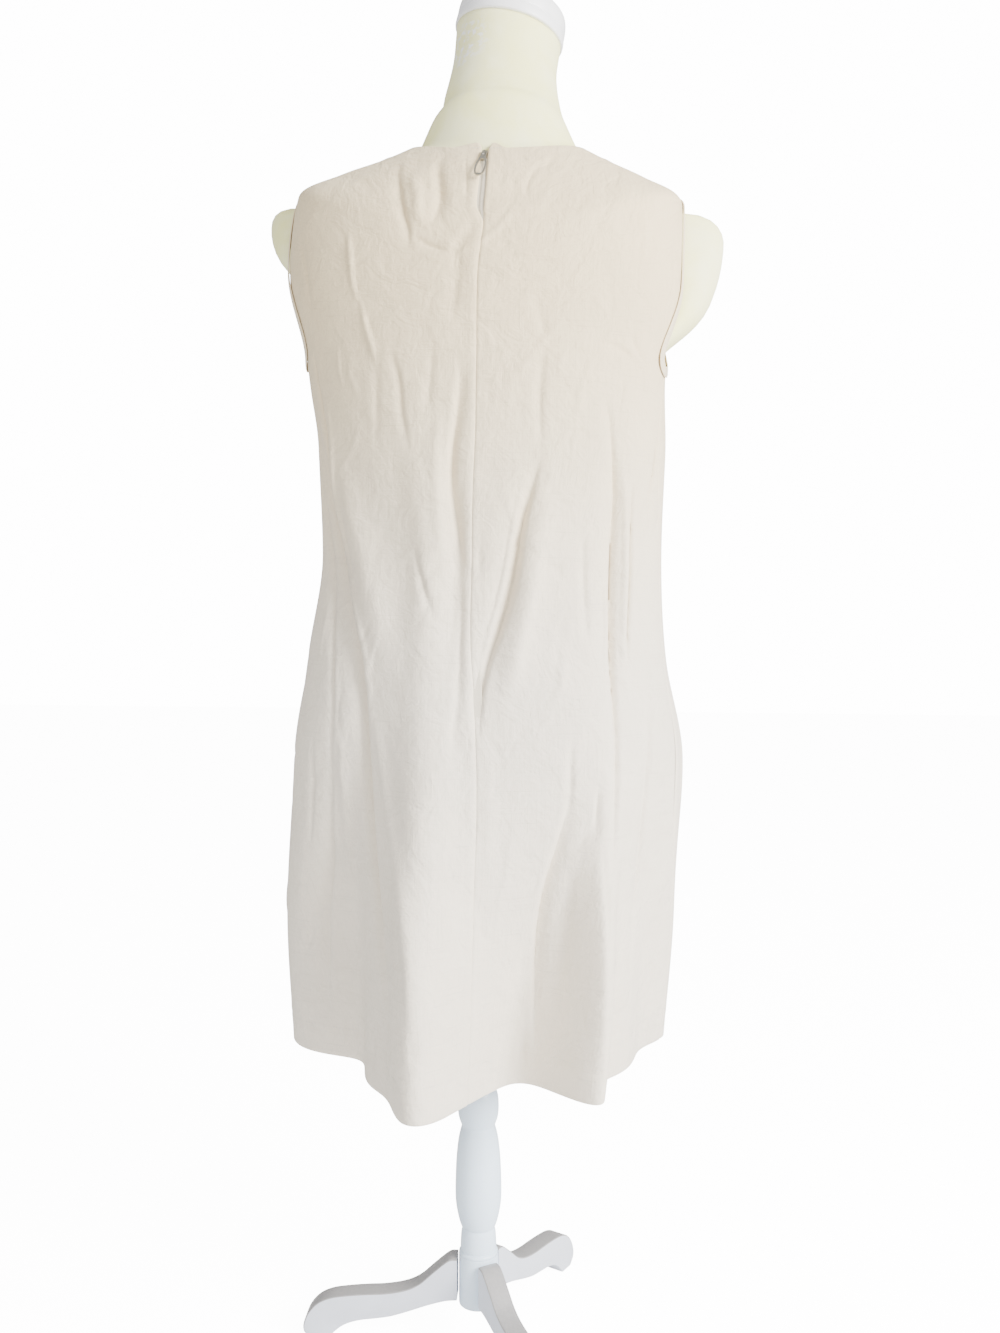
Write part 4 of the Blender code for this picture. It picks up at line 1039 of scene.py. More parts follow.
def band_path(side, count):
    """The armhole's angles and stations, once round, and the step away from it for one metre."""
    turn = full_turn(count)
    station = ARMHOLE_MIDDLE - ARMHOLE_HALF * np.cos(turn)
    opening = np.where(np.sin(turn) > 0, ARMHOLE_BACK, ARMHOLE_FRONT) * np.sin(turn)
    angle = np.radians(side_seam(side, station) + side * opening)
    edge = dress_surface(angle, station, False)
    around, up, normal = directions(angle, station, False)
    along = np.roll(edge, -1, axis=0) - np.roll(edge, 1, axis=0)
    away = unit(np.cross(along, normal))
    away = away * np.sign(((edge - edge.mean(axis=0)) * away).sum(axis=-1).mean())
    crossed = np.cross(around, up)
    area = (crossed**2).sum(axis=-1)
    step_angle = (np.cross(away, up) * crossed).sum(axis=-1) / area
    step_station = (np.cross(around, away) * crossed).sum(axis=-1) / area
    return angle, station, step_angle, step_station


def band_points(side, count, share, out):
    """Points of the band: share of the width away from the armhole, lifted out metres."""
    angle, station, step_angle, step_station = band_path(side, count)
    reach = share * BAND_WIDTH
    return on_dress(angle + reach * step_angle, station + reach * step_station, out, False)


def make_band(side):
    """The two faces of the band, lane by lane from the hole outwards, closed into a wall."""
    shares = np.linspace(0.0, 1.0, BAND_LANES)
    inner = np.stack([band_points(side, BAND_STEPS, share, CLOTH + BAND_LIFT) for share in shares])
    high = CLOTH + BAND_LIFT + BAND_THICK + BAND_CROWN * np.sin(math.pi * shares)
    outer = np.stack([band_points(side, BAND_STEPS, *lane) for lane in zip(shares, high)])
    uv = np.stack(np.broadcast_arrays(shares[:, None] * BAND_WIDTH, far_along(outer[0])), axis=-1)
    if side < 0:
        inner, outer, uv = inner[:, ::-1], outer[:, ::-1], uv[:, ::-1]
    return shell(f"armhole_trim_{SIDE_NAME[side]}", inner, outer, uv, TRIM, wrap=True, reach=0.0005)


bands = {side: make_band(side) for side in (1, -1)}
for side, made in bands.items():
    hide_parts(f"armhole_band_{SIDE_NAME[side]}")

# %% [markdown]
# ## Stitches
#
# A stitch is a short arched thread whose ends sink into the cloth. We shape one, six-sided, and copy
# it along every sewn line with one array product. Each copy has its own frame: along the seam, across
# it, and out of the cloth.

# %% Sew
STITCH_LENGTH = 0.0026
STITCH_PITCH = 0.0034
THREAD_RADIUS = 0.00022
HEM_SINK = 0.00055
STITCH_LIFT = 0.0001
SHORT_STITCH = 0.0022
ARMHOLE_PITCH = 0.0030
ARMHOLE_SHARE = 0.80
CORNER_PITCH = 0.0026
CORNER_ROW = 0.0125
CORNER_Z = NECK_Z - 0.0075


def capsule(length, radius, arch, rings=5, sides=6):
    """A thread along the first axis: its radius is a half ellipse of the length, its middle is raised."""
    t = np.linspace(-1.0, 1.0, rings)
    thick = radius * np.sqrt(np.clip(1.05 - t**2, 0.02, 1.0))
    turn = full_turn(sides)
    x = (t * length / 2)[:, None] + 0 * turn
    y = thick[:, None] * np.cos(turn)
    z = thick[:, None] * np.sin(turn) + (arch * (1 - t**2))[:, None]
    points = np.stack([x, y, z], axis=-1).reshape(-1, 3)
    ends = np.arange(sides)
    faces = [grid_quads(rings, sides, 0, True)[:, ::-1], ends[None], (rings * sides - 1 - ends)[None]]
    return points, faces


def thread_finish():
    """Thread: cream cotton with a fine twist along it."""
    made, tree, shader = new_finish("sewing_thread")
    where = object_map(tree)
    twist = noise(tree, where, 900.0, 2.0)
    give(tree, shader, "Base Color", colour_pair(tree, twist, (0.66, 0.63, 0.57), (0.78, 0.75, 0.70)))
    give(tree, shader, "Roughness", ramp(tree, twist, 0.3, 0.7, 0.55, 0.75))
    give(tree, shader, "Normal", relief(tree, twist, 0.0001, 0.5))
    return made


# %% [markdown]
# ## Rows of stitches
#
# Stitches sit at an even pitch, whatever the shape of the seam. We measure along the line, pick even
# distances, and turn each stitch to follow the seam and the cloth under it.

# %% Sew the rows
def seam_frames(points, normals, pitch):
    """Evenly spaced centres along a path with a frame at each: along, across and out."""
    far = far_along(points)
    spots = np.arange(pitch / 2, far[-1], pitch)
    out = unit(values_at(spots, far, normals))
    along = unit(values_at(spots + pitch / 4, far, points) - values_at(spots - pitch / 4, far, points))
    across = unit(np.cross(out, along))
    return values_at(spots, far, points), np.stack([along, across, np.cross(along, across)], axis=1)


def sew(name, angle, station, out, pitch=STITCH_PITCH, length=STITCH_LENGTH, fine=True):
    """Stitches along a line of the dress, given by its angles and stations."""
    angle, station = same_shape(angle, station)
    normals = directions(angle, station, fine)[2]
    centres, frames = seam_frames(on_dress(angle, station, out, fine), normals, pitch)
    points, faces = capsule(length, THREAD_RADIUS, 0.00022)
    return scatter(name, points, faces, centres, frames, THREAD)


THREAD = thread_finish()
hem_line = HEM_Z + HEM_TURN
stitches = {}
for name, span, steps, ends in (
    ("back_left", LEFT_BACK, 400, 3), ("back_right", RIGHT_BACK, 400, 3), ("front", FRONT, 800, 4)
):
    turn = np.linspace(float(span.start(hem_line)), float(span.end(hem_line)), steps)[ends:-ends]
    stitches[name] = [sew(f"hem_stitches_{name}", turn, hem_line, CLOTH - HEM_SINK)]
for side in (1, -1):
    angle, station, step_angle, step_station = band_path(side, 400)
    reach = BAND_WIDTH * ARMHOLE_SHARE
    turn, level = angle + reach * step_angle, station + reach * step_station
    high = CLOTH + BAND_LIFT + BAND_THICK + STITCH_LIFT
    near = centre_back(side, np.array([CORNER_Z]))[0]
    away = degrees_for(near, CORNER_Z, CORNER_ROW)
    row = np.linspace(near - side * 0.1 * away, near - side * away, 20)
    name = SIDE_NAME[side]
    stitches[f"back_{name}"] += [
        sew(f"armhole_stitches_{name}", turn, level, high, ARMHOLE_PITCH, SHORT_STITCH, False),
        sew(f"corner_stitches_{name}", row, CORNER_Z, CLOTH + STITCH_LIFT, CORNER_PITCH, SHORT_STITCH),
    ]

# %% [markdown]
# ## The zip
#
# Under the panels' edges runs a woven tape, and on it the coil that the slider closes. Only the top
# 9 cm shows, where the edges part. The tape is a thin wall behind the seam. The coil is a row of small
# loops across the middle, each one half of a pair, and above the slider the two rows part.

# %% Tape and coil
TAPE_WIDTH = 0.016
TAPE_THICK = 0.0007
TAPE_DEEP = 0.0007
TWILL = 5200.0
TAPE_PAST = 0.012
TAPE_SHORT = 0.001
COIL_HIGH = 0.00035
COIL_FOOT_Z = 1.080
COIL_PITCH = 0.0008
COIL_OFF = 0.00055
COIL_PARTED = 0.0013
SLIDER_Z = 1.1628


def tape_finish():
    """Zip tape: a close twill, so its threads are slanted sines of the cut map."""
    made, tree, shader = new_finish("zip_tape_weave")
    cut = cut_map(tree)
    across, up, _ = parts_of(tree, cut)
    slant = maths(tree, "ADD", times(tree, across, TWILL), times(tree, up, TWILL))
    rib = ribs(tree, slant)
    tone = noise(tree, cut, 160.0, 2.0)
    give(tree, shader, "Base Color", colour_pair(tree, tone, (0.62, 0.56, 0.44), (0.70, 0.64, 0.52)))
    give(tree, shader, "Roughness", ramp(tree, tone, 0.3, 0.7, 0.65, 0.8))
    give(tree, shader, "Normal", relief(tree, rib, 0.00012, 0.6))
    return made


def coil_finish():
    """Coil: smooth nylon monofilament, a little yellower than the tape."""
    made, tree, shader = new_finish("zip_coil_nylon")
    tone = noise(tree, object_map(tree), 420.0, 2.0)
    give(tree, shader, "Base Color", colour_pair(tree, tone, (0.56, 0.50, 0.40), (0.68, 0.62, 0.50)))
    give(tree, shader, "Roughness", ramp(tree, tone, 0.3, 0.7, 0.28, 0.42))
    return made


def make_tape():
    """A wall under the seam, half its width each side, from below the zip's foot to the notch."""
    station = np.linspace(ZIP_FOOT_Z - TAPE_PAST, NECK_Z - NOTCH_DEPTH - TAPE_SHORT, 260)[:, None]
    middle = np.radians(SEAMS["back"](station))
    angle = middle + degrees_for(middle, station, TAPE_WIDTH / 2) * np.linspace(-1.0, 1.0, 15)
    outer = on_dress(angle, station, -TAPE_DEEP, False)
    inner = on_dress(angle, station, -TAPE_DEEP - TAPE_THICK, False)
    uv, _ = cut_of(outer, 7)
    return shell("zip_tape_strip", inner, outer, uv, tape_finish(), reach=0.0003)


def make_coil():
    """Loops across the seam every 0.8 mm, by turns from the left and the right row."""
    station = np.arange(COIL_FOOT_Z, NECK_Z - NOTCH_DEPTH - 2 * TAPE_SHORT, COIL_PITCH)
    side = np.where(np.arange(len(station)) % 2 == 0, 1.0, -1.0)
    parted = COIL_PARTED * ease((station - SLIDER_Z) / 0.010)
    middle = np.radians(SEAMS["back"](station))
    angle = middle - side * degrees_for(middle, station, COIL_OFF + parted)
    around, _, normal = directions(angle, station, False)
    centres = on_dress(angle, station, COIL_HIGH - TAPE_DEEP, False)
    along = unit(around)
    frames = np.stack([along, unit(np.cross(normal, along)), normal], axis=1)
    points, faces = capsule(0.0027, 0.00042, 0.00025)
    return scatter("zip_coil", points, faces, centres, frames, coil_finish())


tape = make_tape()
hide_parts("zip_tape")
coil = make_coil()

# %% [markdown]
# ## The slider and its pull
#
# Both are small nickel-plated castings that the solids already shape well, with the pull's slot and
# eye cut through. They keep their nodes. A live Bevel rounds the edges, so they catch the light, and
# the finish is a metal with faint rubbed scratches.

# %% Metal
def metal_finish():
    """Nickel plate: a soft grey metal, duller and browner where it is rubbed."""
    made, tree, shader = new_finish("nickel_plate")
    where = object_map(tree)
    rubbed = noise(tree, where, 260.0, 4.0, 0.6)
    scratch = noise(tree, stretch(tree, where, (2600.0, 2600.0, 120.0)), 1.0, 2.0)
    give(tree, shader, "Base Color", colour_pair(tree, rubbed, (0.30, 0.28, 0.22), (0.56, 0.54, 0.48)))
    give(tree, shader, "Roughness", ramp(tree, scratch, 0.3, 0.7, 0.24, 0.42))
    give(tree, shader, "Normal", relief(tree, scratch, 0.00003, 0.4))
    give(tree, shader, "Metallic", 1.0)
    return made


METAL = metal_finish()
for node, width in (("zip_slider", 0.00035), ("zip_pull_tab", 0.00030)):
    made = frame["nodes"][node]
    made.material_slots[0].material = METAL
    edge = made.modifiers.new("Round edges", "BEVEL")
    edge.width = width
    edge.segments = 2
    edge.limit_method = "ANGLE"
    edge.angle_limit = math.radians(35)
    edge.harden_normals = False
    print(node, "keeps its solid, with edges rounded to", width * 1000, "mm")

# %% [markdown]
# ## Pocket bags
#
# A bag of thinner cloth hangs inside each side seam. Only a sliver shows through the pocket's slit,
# so the bag is one thin wall with a rounded lower corner, sewn into the seam. Its cloth is coloured
# dark brown-grey, as painted shade for the inside of the slit.

# %% Make the bags
BAG_REACH = table("Reach", "share reach", (
    (0.00, 0.070), (0.15, 0.108), (0.40, 0.118), (0.70, 0.085), (1.00, 0.045),
))
BAG_LOW_Z = 0.480
BAG_HIGH_Z = 0.700
BAG_THICK = 0.0012
BAG_DEEP = {1: 0.0009, -1: 0.0018}
BAG_DEEPEST = 0.0048
BAG_SLACK = 0.0012
BAG_DIVE = 0.3


def make_bag(side):
    """A wall inside the front, as wide at each height as its reach, that dives away from the seam."""
    station = np.linspace(BAG_LOW_Z, BAG_HIGH_Z, 44)[:, None]
    reach = smooth_curve([row.share for row in BAG_REACH], [row.reach for row in BAG_REACH])
    share = (station - BAG_LOW_Z) / (BAG_HIGH_Z - BAG_LOW_Z)
    start = panel_edge(side, False, station)
    across = np.linspace(0.03, 1.0, 26)
    angle = start - side * degrees_for(start, station, reach(share)) * across
    deep = BAG_DEEP[side] + (BAG_DEEPEST - BAG_DEEP[side]) * ease(across / BAG_DIVE)
    slack = BAG_SLACK * np.sin(math.pi * across) * np.sin(math.pi * share) ** 2
    outer = on_dress(angle, station, -deep - slack, False)
    inner = on_dress(angle, station, -deep - slack - BAG_THICK, False)
    uv, _ = cut_of(outer, 0)
    if side > 0:
        inner, outer, uv = inner[:, ::-1], outer[:, ::-1], uv[:, ::-1]
    return shell(f"pocket_cloth_painted_shade_{SIDE_NAME[side]}", inner, outer, uv, POCKET_SHADE_LINEN, reach=0.0004)


bags = {side: make_bag(side) for side in (1, -1)}
for side, made in bags.items():
    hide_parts(f"pocket_bag_{SIDE_NAME[side]}")

# %% [markdown]
# ## The form
#
# The form is a padded body under a fine jersey cover, cream with age. Its neck leans forward, and the
# two shoulder stumps bulge through the armholes. Its rings are the dress's own, moved inwards by a
# slack that is least over the shoulders, where the dress hangs. The neck's rings are ellipses, and a
# smooth path through them all gives the surface.

# %% Form finish
def jersey_finish():
    """Jersey: fine knitted ribs, yellowed in broad patches, with a painted white highlight on the neck's
    left.
    """
    made, tree, shader = new_finish("form_jersey")
    where = object_map(tree)
    knit = noise(tree, stretch(tree, where, (1500.0, 1500.0, 520.0)), 1.0, 2.0)
    patch = noise(tree, where, 16.0, 4.0, 0.6, 0.4)
    colour = colour_pair(tree, ramp(tree, patch, 0.32, 0.70), (0.88, 0.86, 0.38), (0.92, 0.905, 0.56))
    # Painted highlight: a ragged white patch on the neck's left edge stands for a glossy reflection there.
    highlight_centre = tree.nodes.new("ShaderNodeVectorMath")
    highlight_centre.operation = "DISTANCE"
    tree.links.new(where, highlight_centre.inputs[0])
    highlight_centre.inputs[1].default_value = (AXIS[0] + 0.008, AXIS[1] + 0.020, 1.292)
    near = ramp(tree, highlight_centre.outputs["Value"], 0.010, 0.034, 1.0, 0.0)
    highlight_ragged_edge = ramp(tree, noise(tree, where, 150.0, 5.0, 0.7), 0.50, 0.58)
    painted_highlight = times(tree, near, highlight_ragged_edge)
    give(tree, shader, "Base Color", blend(tree, painted_highlight, colour, (0.97, 0.97, 0.96, 1.0)))
    give(tree, shader, "Roughness", ramp(tree, patch, 0.3, 0.7, 0.62, 0.82))
    give(tree, shader, "Sheen Weight", 0.12)
    lumps = relief(tree, noise(tree, where, 42.0, 3.0), 0.0010, 0.5)
    give(tree, shader, "Normal", relief(tree, knit, 0.00012, 0.5, lumps))
    return made


# %% [markdown]
# ## The form from rings
#
# A form is built up from padding on a core. One stack of rings makes ours: a rounded base, the body
# under the dress, then the neck. The stumps are half ellipses that grow on the rings at the armholes.

# %% Make the form
BODY_SLACK = table("Slack", "station side back front", (
    (0.545, 0.030, 0.030, 0.030), (0.600, 0.019, 0.020, 0.020), (0.700, 0.032, 0.022, 0.032),
    (0.800, 0.052, 0.030, 0.040), (0.900, 0.030, 0.020, 0.024), (0.985, 0.008, 0.008, 0.008),
    (1.040, 0.005, 0.004, 0.005), (1.092, 0.0060, 0.005, 0.0075), (1.130, 0.0032, 0.003, 0.0050),
    (1.179, 0.0009, 0.003, 0.003),
))
SLACK = curves(BODY_SLACK)

STUMPS = table("Stump", "side size peak above below fall", (
    (1, 0.0430, 0.72, 0.255, 0.78, 1.0), (-1, 0.0515, 0.60, 0.390, 1.65, 1.5),
))
STUMP_EDGE = 0.90
STUMP_TOP = 0.4
LENS_LEAST = 3.0

NECK_RINGS = table("NeckRing", "height half_width depth centre_x centre_y rise_x rise_y", (
    (1.2075, 0.0695, 0.0590, -0.0220, -0.003, 0.04, 0.30),
    (1.2265, 0.0605, 0.0560, -0.0230, -0.007, 0.02, 0.20),
    (1.2460, 0.0565, 0.0540, -0.0225, -0.011, 0.02, 0.13),
    (1.2650, 0.0530, 0.0530, -0.0235, -0.015, 0.05, 0.09),
    (1.2840, 0.0510, 0.0515, -0.0250, -0.019, 0.11, 0.08),
    (1.3130, 0.0515, 0.0515, -0.0275, -0.024, 0.19, 0.10),
))
BODY_BASE_Z = 0.545
BODY_BASE_ROUND = 0.012
BODY_BASE_SHARE = 0.93


def stump_bulge(angle, station):
    """The stump through each armhole: a half ellipse over its peak, flatter below it."""
    opening = max(float(armhole_opening(station)), 0.05)
    bulge = np.zeros_like(angle)
    for stump in STUMPS:
        up = (station - ARMHOLE_MIDDLE) / ARMHOLE_HALF - stump.peak
        up, power = (up / stump.above, STUMP_TOP) if up > 0 else (up / stump.below, stump.fall)
        seam = math.radians(float(side_seam(stump.side, station)))
        off = stump.side * centred(angle - seam)
        across = off / np.radians(np.where(off > 0, ARMHOLE_BACK, ARMHOLE_FRONT)) / opening
        height = max(1 - (up / STUMP_EDGE) ** 2, 0.0) ** power
        bulge = bulge + stump.size * height * np.sqrt(np.clip(1 - (across / STUMP_EDGE) ** 2, 0.0, 1.0))
    return bulge


def body_ring(station):
    """One ring of the form: the dress's ring moved in by the slack, and out again by the stumps."""
    spread = np.sin(np.linspace(-math.pi / 2, math.pi / 2, 33))
    opening = float(armhole_opening(station))
    open_back = math.radians(max(ARMHOLE_BACK * opening, LENS_LEAST))
    open_front = math.radians(max(ARMHOLE_FRONT * opening, LENS_LEAST))
    left, right = (math.radians(float(side_seam(side, station))) for side in (1, -1))
    hole = np.where(spread > 0, open_back, open_front) * spread
    back = np.linspace(left + open_back, right - open_back, 40)[1:-1]
    front = np.linspace(right + open_front, left - open_front + 2 * math.pi, 44)[1:-1]
    angle = np.concatenate([left + hole, back, right - hole[::-1], front])
    level = np.full(angle.shape, station)
    toward = np.where(np.sin(angle) > 0, SLACK["back"](station), SLACK["front"](station))
    side = SLACK["side"](station)
    slack = side + (toward - side) * np.sin(angle) ** 2
    normal = unit(np.cross(*ring_steps(angle, level)))
    return ring_point(angle, level) + normal * (stump_bulge(angle, station) - slack)[:, None]


def ring_steps(angle, level):
    """The ring stack's steps round and up, without folds, by small differences."""
    d = SMALL_STEP
    low, high = np.clip(level - d, HEM_Z, None), np.clip(level + d, None, NECK_Z)
    around = ring_point(angle + d, level) - ring_point(angle - d, level)
    return around, ring_point(angle, high) - ring_point(angle, low)


def make_form():
    turn = np.linspace(0.0, math.pi, 30)
    armhole = ARMHOLE_MIDDLE - ARMHOLE_HALF * np.cos(turn)
    lower = np.linspace(BODY_BASE_Z + BODY_BASE_ROUND, UNDERARM_Z, 34)[:-1]
    stations = np.concatenate([lower, armhole, np.linspace(SHOULDER_Z, NECK_Z, 10)[1:]])
    body = np.array([body_ring(station) for station in stations])
    middle = body[0].mean(axis=0)
    base = []
    for turned in np.linspace(0.0, math.pi / 2, 6)[:-1]:
        share = BODY_BASE_SHARE + (1 - BODY_BASE_SHARE) * math.sin(turned)
        ring = middle + (body[0] - middle) * share
        ring[:, 2] = BODY_BASE_Z + BODY_BASE_ROUND * (1 - math.cos(turned))
        base.append(ring)
    top = body[-1]
    bearing = np.arctan2(top[:, 1] - top[:, 1].mean(), top[:, 0] - top[:, 0].mean())
    neck = [top]
    for ring in NECK_RINGS:
        x, y = ring.half_width * np.cos(bearing), ring.depth * np.sin(bearing)
        z = ring.height + ring.rise_x * x + ring.rise_y * y
        neck.append(np.stack([ring.centre_x + x, ring.centre_y + y, z], axis=-1))
    neck = through(np.array(neck), 7)
    return closed_rings("form_cover", np.concatenate([base, body[:-1], neck]) + AXIS, jersey_finish())


form = make_form()
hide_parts("form_torso")

# %% [markdown]
# ## The neck cap
#
# The cap is a domed white disc with a rolled rim, tilted with the neck's top. A profile turned about
# the tilted axis gives it, with a small step where the rim meets the dome.

# %% Paint finish
def make_wear():
    """Paint wear: broad grime, fine speckle, and brush lines stretched along one direction."""
    group, source, target = new_group(
        "paint_wear",
        [("Vector", "NodeSocketVector", None)],
        [("Grime", "NodeSocketFloat"), ("Speckle", "NodeSocketFloat"), ("Brush", "NodeSocketFloat")],
    )
    vector = source.outputs["Vector"]
    give(group, target, "Grime", ramp(group, noise(group, vector, 22.0, 5.0, 0.62), 0.42, 0.75))
    give(group, target, "Speckle", ramp(group, noise(group, vector, 380.0, 3.0, 0.6), 0.62, 0.72))
    brush = noise(group, stretch(group, vector, (420.0, 420.0, 26.0)), 1.0, 3.0)
    give(group, target, "Brush", brush)
    return group


WEAR = make_wear()


def paint_finish(name, colour, grimed, coat, strength=0.35):
    """Satin paint over wood: brush lines in its relief, grime in its colour."""
    made, tree, shader = new_finish(name)
    wear = place(tree, WEAR, Vector=object_map(tree))
    amount = times(tree, wear["Grime"], strength)
    amount = maths(tree, "ADD", amount, times(tree, wear["Speckle"], 0.10))
    give(tree, shader, "Base Color", colour_pair(tree, amount, colour, grimed))
    give(tree, shader, "Roughness", ramp(tree, wear["Grime"], 0.0, 1.0, 0.34, 0.50))
    give(tree, shader, "Coat Weight", coat)
    give(tree, shader, "Normal", relief(tree, wear["Brush"], 0.00012, 0.5))
    return made


WHITE = paint_finish("white_paint_coat", (0.74, 0.87, 1.00), (0.66, 0.77, 0.93), 0.15)
CAP_WHITE = paint_finish("cap_white", (0.87, 0.87, 0.88), (0.74, 0.74, 0.75), 0.1)


# %% [markdown]
# ## The cap from a profile
#
# A neck cap is turned or moulded, so one profile gives it all. The rim has a small groove under the
# dome, which catches a thin line of shade.

# %% Make the cap
CAP = table("Turn", "height radius", (
    (0.0000, 0.0490), (0.0000, 0.0528), (0.0012, 0.0543), (0.0040, 0.0545), (0.0085, 0.0541),
    (0.0100, 0.0536), (0.0115, 0.0540), (0.0200, 0.0536), (0.0270, 0.0510), (0.0320, 0.0425),
    (0.0350, 0.0285), (0.0360, 0.0105), (0.0360, 0.0010),
))


def make_cap():
    top = NECK_RINGS[-1]
    normal = unit(np.array([-top.rise_x, -top.rise_y, 1.0]))
    across = unit(np.array([1.0, 0.0, top.rise_x]))
    away = np.cross(normal, across)
    profile = through(np.array(CAP), 5)
    turn = full_turn(96)
    seat = np.array([top.centre_x, top.centre_y, top.height]) + normal * SEAM_GAP + AXIS
    around = np.cos(turn)[:, None] * across + np.sin(turn)[:, None] * away
    rings = seat + normal * profile[:, :1, None] + around * profile[:, 1:, None]
    return closed_rings("neck_cap_dome", rings, CAP_WHITE)


cap = make_cap()
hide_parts("neck_cap")

# %% [markdown]
# ## The stand
#
# The column is turned wood, so its surface is one profile carried round the axis. The solids' profile
# has the vase and the drum; here a smooth path through it keeps the grooves crisp. Each leg is sawn
# from a board: its outline comes from a top edge and an under edge, and its long edges are barely
# eased. The sawn top edges are dark grey.

# %% Turned pieces
COLUMN = table("Turn", "height radius", (
    (0.0905, 0.0190), (0.0910, 0.0197), (0.0928, 0.0198), (0.0942, 0.0190), (0.0950, 0.0180),
    (0.0960, 0.0182), (0.1000, 0.0183), (0.1120, 0.0176), (0.1160, 0.0168), (0.1185, 0.0165),
    (0.1210, 0.0180), (0.1300, 0.0206), (0.1430, 0.0229), (0.1560, 0.0235), (0.1750, 0.0231),
    (0.1920, 0.0222), (0.2090, 0.0203), (0.2200, 0.0178), (0.2235, 0.0168), (0.2265, 0.0180),
    (0.2340, 0.0202), (0.2440, 0.0208), (0.2540, 0.0200), (0.2620, 0.0172), (0.2655, 0.0142),
    (0.2660, 0.0130),
))
HUB = table("Turn", "height radius", (
    (0.0400, 0.0180), (0.0402, 0.0192), (0.0412, 0.0200), (0.0650, 0.0200), (0.0890, 0.0200),
    (0.0900, 0.0197), (0.0902, 0.0188),
))
POLE = table("Turn", "height radius", (
    (0.2663, 0.0120), (0.2666, 0.0125), (0.4000, 0.0125), (0.5440, 0.0125), (0.5446, 0.0120),
))


def turned_piece(name, profile, steps=4, sides=96):
    """A solid turned on the column's axis: each ring is a circle at a point of the smooth profile."""
    path = through(np.array(profile), steps)
    turn = full_turn(sides)
    height, radius = path[:, :1], path[:, 1:]
    rings = np.stack([radius * np.cos(turn), radius * np.sin(turn), height + 0 * turn], axis=-1)
    return closed_rings(name, rings + AXIS, WHITE)


column = turned_piece("turned_column", COLUMN)
hub = turned_piece("hub_drum", HUB)
pole = turned_piece("steel_pole", POLE)
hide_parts("column")
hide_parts("hub")
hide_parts("pole")

# %% [markdown]
# ## The legs
#
# Each scroll leg is sawn from a board. The upper and under edges are two smooth paths, and at every
# step between them goes a rectangle with rounded corners. One side of the cut map marks the top edge,
# which is coloured dark grey.

# %% Legs
LEG_TOP = table("Edge", "reach height", (
    (0.0214, 0.0872), (0.0300, 0.0860), (0.0450, 0.0740), (0.0600, 0.0610), (0.0750, 0.0540),
    (0.0950, 0.0500), (0.1150, 0.0485), (0.1350, 0.0465), (0.1520, 0.0435), (0.1650, 0.0375),
    (0.1740, 0.0280), (0.1790, 0.0170), (0.1790, 0.0080), (0.1725, 0.0004),
))
LEG_UNDER = table("Edge", "reach height", (
    (0.0214, 0.0443), (0.0340, 0.0430), (0.0520, 0.0380), (0.0720, 0.0310), (0.0900, 0.0255),
    (0.1050, 0.0230), (0.1220, 0.0205), (0.1360, 0.0160), (0.1460, 0.0090), (0.1535, 0.0004),
))
LEG_THICK = 0.0215
LEG_ANGLES = (245.0, 5.0, 125.0)
LEG_EASE = 0.0016
LEG_ROWS = 90
CORNER_POINTS = 4


def leg_finish():
    """The stand's paint, with the sawn top edge of the board dark grey where the cut map says."""
    made, tree, shader = new_finish("leg_paint")
    wear = place(tree, WEAR, Vector=object_map(tree))
    ragged = maths(tree, "MULTIPLY_ADD", wear["Brush"], 0.05, parts_of(tree, cut_map(tree))[1])
    top = ramp(tree, ragged, 0.985, 1.015)
    grime = times(tree, wear["Grime"], 0.4)
    side = colour_pair(tree, grime, (0.66, 0.69, 0.77), (0.52, 0.54, 0.60))
    # The top edge, which the cut map marks, is dark grey.
    top_grey = colour_pair(tree, wear["Brush"], (0.27, 0.26, 0.26), (0.36, 0.35, 0.35))
    give(tree, shader, "Base Color", blend(tree, top, side, top_grey))
    give(tree, shader, "Roughness", ramp(tree, wear["Grime"], 0.0, 1.0, 0.42, 0.60))
    give(tree, shader, "Normal", relief(tree, wear["Brush"], 0.00015, 0.5))
    return made


def evenly(points, count):
    """A smooth path through points, resampled at even distances."""
    path = through(points, 12)
    far = far_along(path)
    return values_at(np.linspace(0.0, far[-1], count), far, path)


def make_leg(number, degrees):
    """A sawn board: at each step along it, a rounded rectangle between the top and the under edge."""
    top = evenly(np.array(LEG_TOP), LEG_ROWS)
    under = evenly(np.array(LEG_UNDER), LEG_ROWS)
    middle, half = (top + under) / 2, (top - under) / 2
    length = np.linalg.norm(half, axis=-1, keepdims=True)
    corner = np.linspace(0.0, math.pi / 2, CORNER_POINTS)
    across, up, mark = [], [], []
    for quarter, (sx, sy) in enumerate(((1, 1), (-1, 1), (-1, -1), (1, -1))):
        turn = corner if quarter % 2 == 0 else corner[::-1]
        across.append(sx * (LEG_THICK / 2 - LEG_EASE + LEG_EASE * np.cos(turn)))
        up.append(sy * (LEG_EASE * np.sin(turn) - LEG_EASE))
        mark.append(np.full(CORNER_POINTS, float(sy)))
    across, up, mark = np.concatenate(across), np.concatenate(up), np.concatenate(mark)
    side = mark + up / length
    flat = middle[:, None] + half[:, None] * side[..., None]
    level = np.where(mark > 0, 1.0, 0.0) + 0 * side
    level = np.where(np.abs(up) < LEG_EASE * 0.6, level * 1.06, level * 0.9)
    c, s = math.cos(math.radians(degrees)), math.sin(math.radians(degrees))
    reach, height = flat[..., 0], flat[..., 1]
    x, y = reach * c - across * s, reach * s + across * c
    rings = np.stack([x, y, height], axis=-1)[:, ::-1] + AXIS
    uv = np.stack([reach, level], axis=-1)[:, ::-1]
    made = closed_rings(f"scroll_leg_{number}", rings, LEG_PAINT, uv, sharp=50)
    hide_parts(f"leg_{number}")
    return made


LEG_PAINT = leg_finish()
legs = [make_leg(number, degrees) for number, degrees in enumerate(LEG_ANGLES, 1)]
